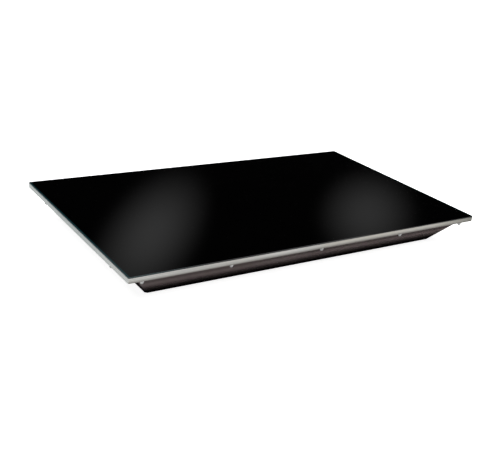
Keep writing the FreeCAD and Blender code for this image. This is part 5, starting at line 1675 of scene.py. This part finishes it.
@dataclass
class PowerSwitch(Assembly):
    """Lighted rocker in its housing, with a bar for on and a ring for off. Sizes in mm."""

    dressing = {Slot.PLATED_STEEL: ("rocker_pin",)}
    half_length: float = 11.0
    crest: float = 4.2
    valley: float = 2.2
    hollow: float = 1.25
    face_steps: int = 25
    keel: float = 3.0
    keel_half: float = 3.3
    heel: float = 0.75
    undercut: float = 0.55
    tilt: float = 10.0
    edge_round: float = 0.45
    mark_height: float = 0.05
    mark_place: float = 6.8
    bar_half: tuple[float, float] = (0.35, 1.5)
    ring: tuple[float, float] = (1.05, 1.6)

    def face_height(self, along: Array) -> Array:
        """Height of the pressed face over the pivot: a hollow between two raised ends."""
        share = np.abs(along) / self.half_length
        return self.valley + (self.crest - self.valley) * share ** self.hollow

    def section(self) -> Array:
        """Closed outline of the rocker from its side, as rows of height and length.

        Returns:
            The outline's points, counted once round.
        """
        along = np.linspace(-self.half_length, self.half_length, self.face_steps)
        heel = self.half_length - self.undercut
        under = np.array([(-self.heel, heel), (-self.keel, self.keel_half),
                          (-self.keel, -self.keel_half), (-self.heel, -heel)])
        return np.concatenate([np.column_stack([self.face_height(along), along]), under])

    def lean(self, local: Array, pivot: Triple) -> Array:
        """Turns points by the rest tilt about the pivot and carries them to the frame.

        Args:
            local: rows of x, height and length from the pivot, in mm.
            pivot: place of the pivot.

        Returns:
            Points in the frame: the height goes outwards along y, the length up along z.
        """
        angle = math.radians(self.tilt)
        out = local[..., 1] * math.cos(angle) + local[..., 2] * math.sin(angle)
        rise = local[..., 2] * math.cos(angle) - local[..., 1] * math.sin(angle)
        return np.stack([local[..., 0] + pivot[0], out + pivot[1], rise + pivot[2]], axis=-1)

    def cap(self, half_width: float, pivot: Triple) -> Surface:
        """The section carried across the rocker, drawn in by a quarter round at both ends.

        Args:
            half_width: half the rocker's width.
            pivot: place of the pivot.

        Returns:
            The rocker's surface.
        """
        section = self.section()
        middle = (section.min(axis=0) + section.max(axis=0)) / 2
        half = (section.max(axis=0) - section.min(axis=0)) / 2
        turn = np.radians(np.linspace(0, 90, 5))
        insets = np.concatenate([self.edge_round * (1 - np.sin(turn)),
                                 self.edge_round * (1 - np.sin(turn[::-1]))])
        ends = half_width - self.edge_round * (1 - np.cos(turn))
        places = np.concatenate([-ends, ends[::-1]])
        rows = []
        for place, inset in zip(places, insets):
            shrunk = middle + (section - middle) * (1 - inset / half)
            rows.append(np.column_stack([np.full(len(section), place), shrunk]))
        for side, row in ((0, rows[0]), (len(rows) + 1, rows[-1])):
            centre = np.broadcast_to([row[0, 0], *middle], row.shape)
            rows.insert(side, centre)
        return Surface().add_grid(self.lean(np.stack(rows), pivot), wrap_columns=True)

    def marks(self, pivot: Triple) -> Surface:
        """Bar and ring that follow the rocker's face: their tops lie just over it.

        Both are closed thin grids. The bar is a block of points, the ring a turned rectangle.

        Args:
            pivot: place of the pivot.

        Returns:
            The marks' surface.
        """
        surface = Surface()
        x = np.array([-1, 1, 1, -1]) * self.bar_half[0]
        lift = np.array([1, 1, -3, -3]) * self.mark_height
        along = self.mark_place + np.linspace(-1, 1, 7) * self.bar_half[1]
        rows = [np.column_stack([x, self.face_height(np.full(4, place)) + lift,
                                 np.full(4, place)]) for place in along]
        first, last = rows[0].mean(axis=0), rows[-1].mean(axis=0)
        rows = [np.tile(first, (4, 1)), *rows, np.tile(last, (4, 1))]
        surface.add_grid(self.lean(np.stack(rows), pivot), wrap_columns=True)
        angles = round_angles(32)
        radii = [self.ring[0], self.ring[1], self.ring[1], self.ring[0]]
        ring = turned(list(zip(radii, lift)), angles)
        along = ring[..., 1] - self.mark_place
        grid = np.stack([ring[..., 0], self.face_height(along) + ring[..., 2], along], axis=-1)
        return surface.add_grid(self.lean(grid, pivot), wrap_rows=True, wrap_columns=True)

    def make(self) -> None:
        """Makes the housing, the rocker and its marks."""
        self.bench.soften("switch_housing", "rocker_housing", Slot.SWITCH_PLASTIC, 0.4)
        pivot = tuple(sum(self.bench.extent("rocker_pin")) / 2)
        half_width = self.bench.size("power_rocker")[0] / 2
        self.bench.add("rocker_cap", self.cap(half_width, pivot), Slot.ROCKER_LENS, "power_rocker",
                       sharp=40)
        self.bench.add("rocker_marks", self.marks(pivot), Slot.WHITE_INLAY, "power_rocker",
                       replaces=False, sharp=40)


@dataclass(frozen=True)
class Coil:
    """Compression spring of round wire with capped ends. Sizes in mm."""

    radius: float = 2.6
    wire: float = 0.3
    turns: int = 5
    steps: int = 36
    columns: int = 10

    def surface(self, station: Station, length: float) -> Surface:
        """Rings round a helix, each across the wire, with all ends drawn in to points.

        Args:
            station: where the spring stands on its end.
            length: the spring's length over its wire.

        Returns:
            The spring's surface.
        """
        turn = np.linspace(math.pi, math.pi + self.turns * FULL_TURN,
                           self.turns * self.steps + 1)
        share = np.linspace(0, 1, len(turn))
        rise = length - 2 * self.wire
        outward = np.stack([np.cos(turn), np.sin(turn), np.zeros_like(turn)], axis=-1)
        centre = self.radius * outward
        centre[:, 2] = self.wire + rise * share
        along = np.stack([-self.radius * np.sin(turn), self.radius * np.cos(turn),
                          np.full_like(turn, rise / (self.turns * FULL_TURN))], axis=-1)
        across = np.cross(along / np.linalg.norm(along, axis=-1, keepdims=True), outward)
        ring = round_angles(self.columns)[:, None]
        rings = centre[:, None] + self.wire * (np.cos(ring) * outward[:, None]
                                               + np.sin(ring) * across[:, None])
        caps = np.repeat(centre[[0, -1], None], self.columns, axis=1)
        return Surface().add_grid(station.carry(np.concatenate([caps[:1], rings, caps[1:]])),
                                  wrap_columns=True)


@dataclass
class HighLimit(Assembly):
    """Hand-reset high limit with its nut, sprung button, bulb and capillary. Sizes in mm."""

    dressing = {Slot.COPPER: ("limiter_bulb", "limiter_capillary")}
    travel: float = 2.0
    spring_play: float = 0.06
    collar_radius: float = 3.3
    collar: float = 1.2
    collar_edge: float = 0.15
    stem_radius: float = 2.2
    tip_round: float = 0.7
    tip_hollow: float = 0.12

    def button(self) -> Surface:
        """Turned button: collar, stem and a tip with a rounded edge and a slight hollow.

        Returns:
            The button's surface.
        """
        length = self.bench.size("reset_button")[1]
        inner, flat = self.collar_radius - self.collar_edge, self.stem_radius - self.tip_round
        rows = [(0, 0), (inner, 0), (self.collar_radius, self.collar_edge),
                (self.collar_radius, self.collar - self.collar_edge), (inner, self.collar),
                (self.stem_radius, self.collar)]
        rows += arc((flat, length - self.tip_round), self.tip_round, 0, 90, 6)
        rows += [(flat * share, length - self.tip_hollow * (1 - share ** 2))
                 for share in np.linspace(0.8, 0, 5)]
        return Surface().add_turned(rows, round_angles(40),
                                    [self.bench.station("reset_button")])

    def make(self) -> None:
        """Makes the case, spring, nut and button."""
        self.bench.soften("limiter_case", "limiter_body", Slot.PHENOLIC, 0.45)
        self.add_spring()
        HexNut.add_on_bushing(self.bench, "limiter_hex_nut", "limiter_nut")
        self.bench.add("reset_push_button", self.button(), Slot.RED_BUTTON, "reset_button",
                       sharp=35)

    def add_spring(self) -> None:
        """Makes the button's spring."""
        length = float(self.bench.size("reset_spring")[1])
        foot = self.bench.station("reset_spring")
        spring = self.bench.add("button_return_spring", Coil().surface(foot, length),
                                Slot.PLATED_STEEL, "reset_spring", sharp=60)
        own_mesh(spring)


@dataclass
class CordGland(Assembly):
    """Cord gland: threaded body, sealing ring, domed nut and locknut. Sizes in mm."""

    flats: float = 20.0
    thread_radius: float = 8.0
    thread_length: float = 9.0
    thread_pitch: float = 1.5
    thread_depth: float = 0.45
    thread_end: float = 0.1
    collar: float = 5.0
    spigot: float = 5.5
    bore: float = 6.0
    cord_bore: float = 4.2
    dome_radius: float = 9.6
    dome_round: float = 2.6
    dome_step: float = 0.5
    face_share: float = 0.94
    play: float = 0.05
    root: float = 0.7
    chamfer: float = 0.4
    lead_in: float = 0.3
    rows_a_pitch: int = 6
    columns: int = 72

    def body(self, station: Station) -> Surface:
        """Turned body whose thread is a wave that climbs one pitch in each turn.

        The thread's radius is the outer one less its depth times a raised cosine of the height
        over the pitch less the angle over a full turn. It fades at both ends.

        Args:
            station: where the gland stands, at its inner end.

        Returns:
            The body's surface.
        """
        angles = round_angles(self.columns)
        end = self.thread_length
        steps = int(end / self.thread_pitch * self.rows_a_pitch)
        rows: list[Row] = [(self.bore, self.chamfer), (self.bore + self.chamfer, 0),
                           (self.thread_radius - self.root, 0)]
        for height in np.linspace(self.chamfer, end - self.thread_end, steps):
            fade = np.clip(min(height, end - height) / self.thread_pitch, 0, 1)
            wave = 0.5 + 0.5 * np.cos(FULL_TURN * height / self.thread_pitch - angles)
            rows.append((self.thread_radius - self.thread_depth * (1 - fade * (1 - wave)),
                         height))
        edge, face, drop = chamfered_hexagon(angles, self.flats, self.face_share)
        top = end + self.collar
        tip = top + self.spigot
        rows += [(self.thread_radius - self.thread_depth, end), (face, end), (edge, end + drop),
                 (edge, top - drop), (face, top), (self.thread_radius, top),
                 (self.thread_radius, tip - self.chamfer),
                 (self.thread_radius - self.chamfer, tip), (self.bore, tip)]
        return Surface().add_turned(rows, angles, [station], wrap_rows=True)

    def dome_nut(self, station: Station, height: float) -> Surface:
        """Turned nut: hollow inside, a chamfered hexagon outside and a rounded shoulder.

        Args:
            station: where the nut stands, at its open end.
            height: its height.

        Returns:
            The nut's surface.
        """
        angles = round_angles(self.columns)
        edge, face, drop = chamfered_hexagon(angles, self.flats, self.face_share)
        room = self.thread_radius + self.play
        rows: list[Row] = [(self.cord_bore, height - self.root), (self.cord_bore, self.spigot),
                           (room, self.spigot), (room, self.lead_in), (room + self.lead_in, 0),
                           (face, 0), (edge, drop), (edge, self.spigot - drop),
                           (face, self.spigot), (self.dome_radius - self.dome_step, self.spigot),
                           (self.dome_radius, self.spigot + self.lead_in)]
        rows += arc((self.dome_radius - self.dome_round, height - self.dome_round),
                    self.dome_round, 0, 90, 8)
        rows += [(self.cord_bore + self.root, height)]
        return Surface().add_turned(rows, angles, [station], wrap_rows=True)

    def seal(self, station: Station, length: float) -> Surface:
        """Turned rubber ring with softened edges.

        Args:
            station: where the ring stands, at its inner end.
            length: its length.

        Returns:
            The ring's surface.
        """
        soft = self.lead_in
        inner, outer = self.cord_bore + soft, self.bore - soft
        rows = [(inner, 0), (outer, 0), (self.bore, soft), (self.bore, length - soft),
                (outer, length), (inner, length), (self.cord_bore, length - soft),
                (self.cord_bore, soft)]
        return Surface().add_turned(rows, round_angles(48), [station], wrap_rows=True)

    def make(self) -> None:
        """Makes the four pieces."""
        body, dome, ring, lock = (
            (self.bench.station(node), self.bench.size(node)[1])
            for node in ("gland_body", "gland_dome_nut", "gland_seal", "gland_locknut"))
        nut = HexNut(flats=self.flats, height=lock[1], bore=self.thread_radius + self.play)
        self.bench.add("gland_threaded_body", self.body(body[0]), Slot.BLACK_PLASTIC, "gland_body",
                       sharp=28)
        self.bench.add("gland_cap", self.dome_nut(*dome), Slot.BLACK_PLASTIC, "gland_dome_nut",
                       sharp=28)
        self.bench.add("gland_sealing_ring", self.seal(*ring), Slot.BLACK_SILICONE, "gland_seal")
        self.bench.add("gland_hex_locknut", nut.surface([lock[0]]), Slot.BLACK_PLASTIC,
                       "gland_locknut", sharp=25)


@dataclass
class Terminals(Assembly):
    """Ceramic terminal block with its clamping screws, the earth stud and the wiring. In mm."""

    dressing = {Slot.BRASS: ("earth_stud",), Slot.WIRE_SILICONE: ("internal_wiring",)}
    screw: ScrewHead = ScrewHead(radius=2.6, height=3.4, shank=0.0, length=0.0,
                                 drive=Drive.SLOT, drive_half=0.16, drive_depth=0.35,
                                 wall_share=0.85)
    nut_height: float = 3.2
    nut_bore: float = 2.05

    def make(self) -> None:
        """Makes the block, screws and nuts."""
        self.bench.soften("ceramic_block", "terminal_block", Slot.WHITE_CERAMIC, 0.5)
        low, high = self.bench.extent("terminal_screws")
        row = (low[1] + high[1]) / 2
        stations = [Station((x, row, low[2]), Facing.UP)
                    for x in np.linspace(low[0] + self.screw.radius,
                                         high[0] - self.screw.radius, 3)]
        self.bench.add("clamping_screws", self.screw.surface(stations), Slot.BRASS,
                       "terminal_screws")
        high = self.bench.extent("earth_nuts")[1]
        nut = HexNut(flats=self.bench.size("earth_nuts")[1], height=self.nut_height,
                     bore=self.nut_bore)
        base = self.bench.station("earth_nuts", Facing.UP)
        upper = Station((*base.place[:2], high[2] - self.nut_height), Facing.UP)
        self.bench.add("earth_hex_nuts", nut.surface([base, upper]), Slot.BRASS, "earth_nuts",
                       sharp=25)


# ---------------------------------------- studio

@dataclass(frozen=True)
class Viewpoint:
    """The camera: where it stands, in metres, and how it is turned, in degrees."""

    place: Triple = (-1.04297, -1.45884, 0.72959)
    heading: float = 35.3395
    pitch: float = -21.8230
    roll: float = 6.0087
    lens: float = 57.82
    sensor: float = 36.0
    frame_width: float = 500.0
    frame_height: float = 449.0
    clip: tuple[float, float] = (0.01, 50.0)

    def turn(self) -> Matrix:
        """Rotation of the camera: heading about z, then pitch, then roll."""
        return (Matrix.Rotation(math.radians(-self.heading), 3, "Z")
                @ Matrix.Rotation(math.radians(90 + self.pitch), 3, "X")
                @ Matrix.Rotation(math.radians(self.roll), 3, "Z"))

    def ray(self, column: float, row: float) -> Vector:
        """Direction of the ray through a point of the frame.

        Args:
            column: pixels from the left edge.
            row: pixels from the top edge.

        Returns:
            The direction, of length 1.
        """
        scale = self.sensor / self.lens / self.frame_width
        local = Vector(((column - self.frame_width / 2) * scale,
                        (self.frame_height / 2 - row) * scale, -1.0))
        return (self.turn() @ local).normalized()

    def build(self) -> None:
        """Makes the camera and sets it as the scene's."""
        data = bpy.data.cameras.new("camera")
        data.lens = self.lens
        data.sensor_width = self.sensor
        data.clip_start, data.clip_end = self.clip
        camera = bpy.data.objects.new("camera", data)
        camera.matrix_world = Matrix.Translation(self.place) @ self.turn().to_4x4()
        link(camera)
        bpy.context.scene.camera = camera


@dataclass(frozen=True)
class SoftPanel:
    """An oval lamp that the glass mirrors as a soft patch of light.

    Its middle is seen in the glass at a point of the frame, and its halves and lean are as the
    frame shows them. The light at a share s of the way from its middle to its edge is 1 less
    s squared, raised to the falloff.
    """

    column: float
    row: float
    half_wide: float
    half_tall: float
    lean: float
    radiance: float
    distance: float = 2.5
    falloff: float = 2.8

    def build(self, name: str, view: Viewpoint, level: float) -> None:
        """Hangs the lamp on the mirrored ray, facing the glass.

        Args:
            name: the lamp's name.
            view: the camera.
            level: height of the glass, in metres.
        """
        eye, ray = Vector(view.place), view.ray(self.column, self.row)
        path = (level - eye.z) / ray.z
        spot = eye + ray * path
        mirrored = Vector((ray.x, ray.y, -ray.z))
        side = view.turn() @ Vector((1, 0, 0))
        side.z = -side.z
        side = (side - mirrored * side.dot(mirrored)).normalized()
        rise = mirrored.cross(side)
        turn = Matrix((side, rise, mirrored)).transposed()
        turn = turn @ Matrix.Rotation(math.radians(self.lean), 3, "Z")
        reach = (path + self.distance) * view.sensor / view.lens / view.frame_width
        data = bpy.data.lights.new(name, "AREA")
        data.shape = "ELLIPSE"
        data.size = 2 * self.half_wide * reach
        data.size_y = 2 * self.half_tall * reach
        area = math.pi * data.size * data.size_y / 4
        data.energy = self.radiance * math.pi * area
        graph = Graph.of(data)
        place = graph.parts(graph.add("ShaderNodeNewGeometry").outputs["Parametric"])
        halves = [graph.math("SUBTRACT", part, 0.5) for part in place[:2]]
        squares = [graph.math("POWER", graph.math("MULTIPLY", half, 2.0), 2.0)
                   for half in halves]
        rest = graph.math("SUBTRACT", 1.0, graph.math("ADD", *squares))
        strength = graph.math("POWER", graph.math("MAXIMUM", rest, 0.0), self.falloff)
        glow = graph.add("ShaderNodeEmission", {"Strength": strength})
        graph.add("ShaderNodeOutputLight", {"Surface": glow.outputs[0]})
        lamp = bpy.data.objects.new(name, data)
        lamp.matrix_world = Matrix.Translation(spot + mirrored * self.distance) @ turn.to_4x4()
        lamp.visible_camera = False
        link(lamp)


@dataclass
class Studio:
    """Pale bowl that the tray stands in, plain soft lamps and the camera. In metres."""

    floor_drop: float = 0.0002
    floor_rings: int = 12
    wall_rings: int = 16
    columns: int = 96
    floor_radius: float = 5.0
    wall_radius: float = 1.5
    wall_turn: float = 81.0
    white: Colour = (0.86, 0.86, 0.86)
    near_fill: float = 0.93
    # painted shade: mirror and glass rays see the floor's glow dimmed near the tray
    near_gloss: float = 0.2
    far_fill: float = 1.0
    near: float = 0.9
    far: float = 3.0
    sky: float = 0.0015
    lamp_height: float = 3.5
    lamp_size: float = 7.0
    lamp_power: float = 250.0
    view: Viewpoint = Viewpoint()
    panels: tuple[SoftPanel, ...] = (
        SoftPanel(column=148.5, row=241.0, half_wide=57.0, half_tall=99.5, lean=-36.0,
                  radiance=0.225),
        SoftPanel(column=367.0, row=217.0, half_wide=61.5, half_tall=58.0, lean=0.0,
                  radiance=0.155),
    )

    def bowl(self) -> None:
        """Makes a turned floor whose edge curves up as a low wall, with its inside shown."""
        rows = [(radius, -self.floor_drop)
                for radius in np.linspace(0, self.floor_radius, self.floor_rings)]
        turn = np.radians(np.linspace(0, self.wall_turn, self.wall_rings))[1:]
        rows += list(zip(self.floor_radius + self.wall_radius * np.sin(turn),
                         self.wall_radius * (1 - np.cos(turn)) - self.floor_drop))
        grid = turned(rows, round_angles(self.columns)) / MM
        mesh = Surface().add_grid(grid, wrap_columns=True).to_mesh("studio_floor", sharp=60)
        if mesh.polygons[0].normal.z < 0:
            mesh.flip_normals()
        mesh.materials.append(self.floor_material())
        floor = bpy.data.objects.new("studio_floor", mesh)
        link(floor)

    def floor_material(self) -> bpy.types.Material:
        """Pale matt paint that camera, mirror and glass rays see a little brighter.

        What they see brightens with the distance from the middle, from a near level to 1; mirror
        and glass rays get a low near level, a painted shade of the floor round the tray.
        From below the floor is clear, so that the underside of what stands on it shows.

        Returns:
            The material.
        """
        material = bpy.data.materials.new("studio_floor")
        graph = Graph.of(material)
        paint = graph.add("ShaderNodeBsdfDiffuse", {"Color": (*self.white, 1.0)})
        path = graph.add("ShaderNodeLightPath").outputs
        where = graph.add("ShaderNodeTexCoord").outputs["Object"]
        reach = graph.add("ShaderNodeVectorMath", {0: where}, operation="LENGTH")
        mirrored = graph.math("MAXIMUM", path["Is Glossy Ray"], path["Is Transmission Ray"])
        # mirror and glass rays see a dimmer glow near the middle: painted shade in reflections
        shares = [graph.math("MULTIPLY", ray, graph.spread(reach.outputs["Value"], level,
                                                           self.far_fill, soft=True,
                                                           start=self.near, end=self.far))
                  for ray, level in ((path["Is Camera Ray"], self.near_fill),
                                     (mirrored, self.near_gloss))]
        glow = graph.add("ShaderNodeEmission", {"Color": WHITE,
                                                "Strength": graph.math("ADD", *shares)})
        both = graph.add("ShaderNodeAddShader", {0: paint.outputs[0], 1: glow.outputs[0]})
        below = graph.add("ShaderNodeNewGeometry").outputs["Backfacing"]
        clear = graph.add("ShaderNodeBsdfTransparent")
        sheet = graph.add("ShaderNodeMixShader", {0: below, 1: both.outputs[0],
                                                  2: clear.outputs[0]})
        graph.add("ShaderNodeOutputMaterial", {"Surface": sheet.outputs[0]})
        return material

    def sky_light(self) -> None:
        """Dim even light from all round, which the camera itself sees as plain white."""
        world = bpy.data.worlds.new("studio")
        graph = Graph.of(world)
        seen = graph.add("ShaderNodeLightPath").outputs["Is Camera Ray"]
        level = graph.spread(seen, self.sky, 1.0)
        back = graph.add("ShaderNodeBackground", {"Color": WHITE, "Strength": level})
        graph.add("ShaderNodeOutputWorld", {"Surface": back.outputs[0]})
        bpy.context.scene.world = world

    def main_lamp(self) -> None:
        """Large soft lamp straight overhead."""
        data = bpy.data.lights.new("overhead", "AREA")
        data.shape = "SQUARE"
        data.size = self.lamp_size
        data.energy = self.lamp_power
        lamp = bpy.data.objects.new("overhead", data)
        lamp.location = (0, 0, self.lamp_height)
        lamp.visible_camera = False
        link(lamp)

    def build(self, glass_level: float) -> None:
        """Makes floor, lamps, world and camera, and sets the plain view transform.

        Args:
            glass_level: height of the glass, in metres.
        """
        self.bowl()
        self.sky_light()
        self.main_lamp()
        for index, panel in enumerate(self.panels):
            panel.build(f"soft_panel_{index + 1}", self.view, glass_level)
        self.view.build()
        bpy.context.scene.view_settings.view_transform = "Standard"


def main() -> None:
    """Builds every sub-assembly in order, then the studio."""
    logging.basicConfig(level=logging.INFO, format="%(name)s: %(message)s")
    bench = Bench(frame["nodes"], Wardrobe({finish.slot: finish for finish in FINISHES}))
    for kind in (GlassTop, RimFrame, LowerPan, Heater, Insulation, ControlBay, Thermostat,
                 PowerSwitch, HighLimit, CordGland, Terminals):
        kind(bench).build()
    glass_level = float(bench.extent("glass_top")[1][2]) * MM
    Studio().build(glass_level)


if __name__ == "__main__":
    main()
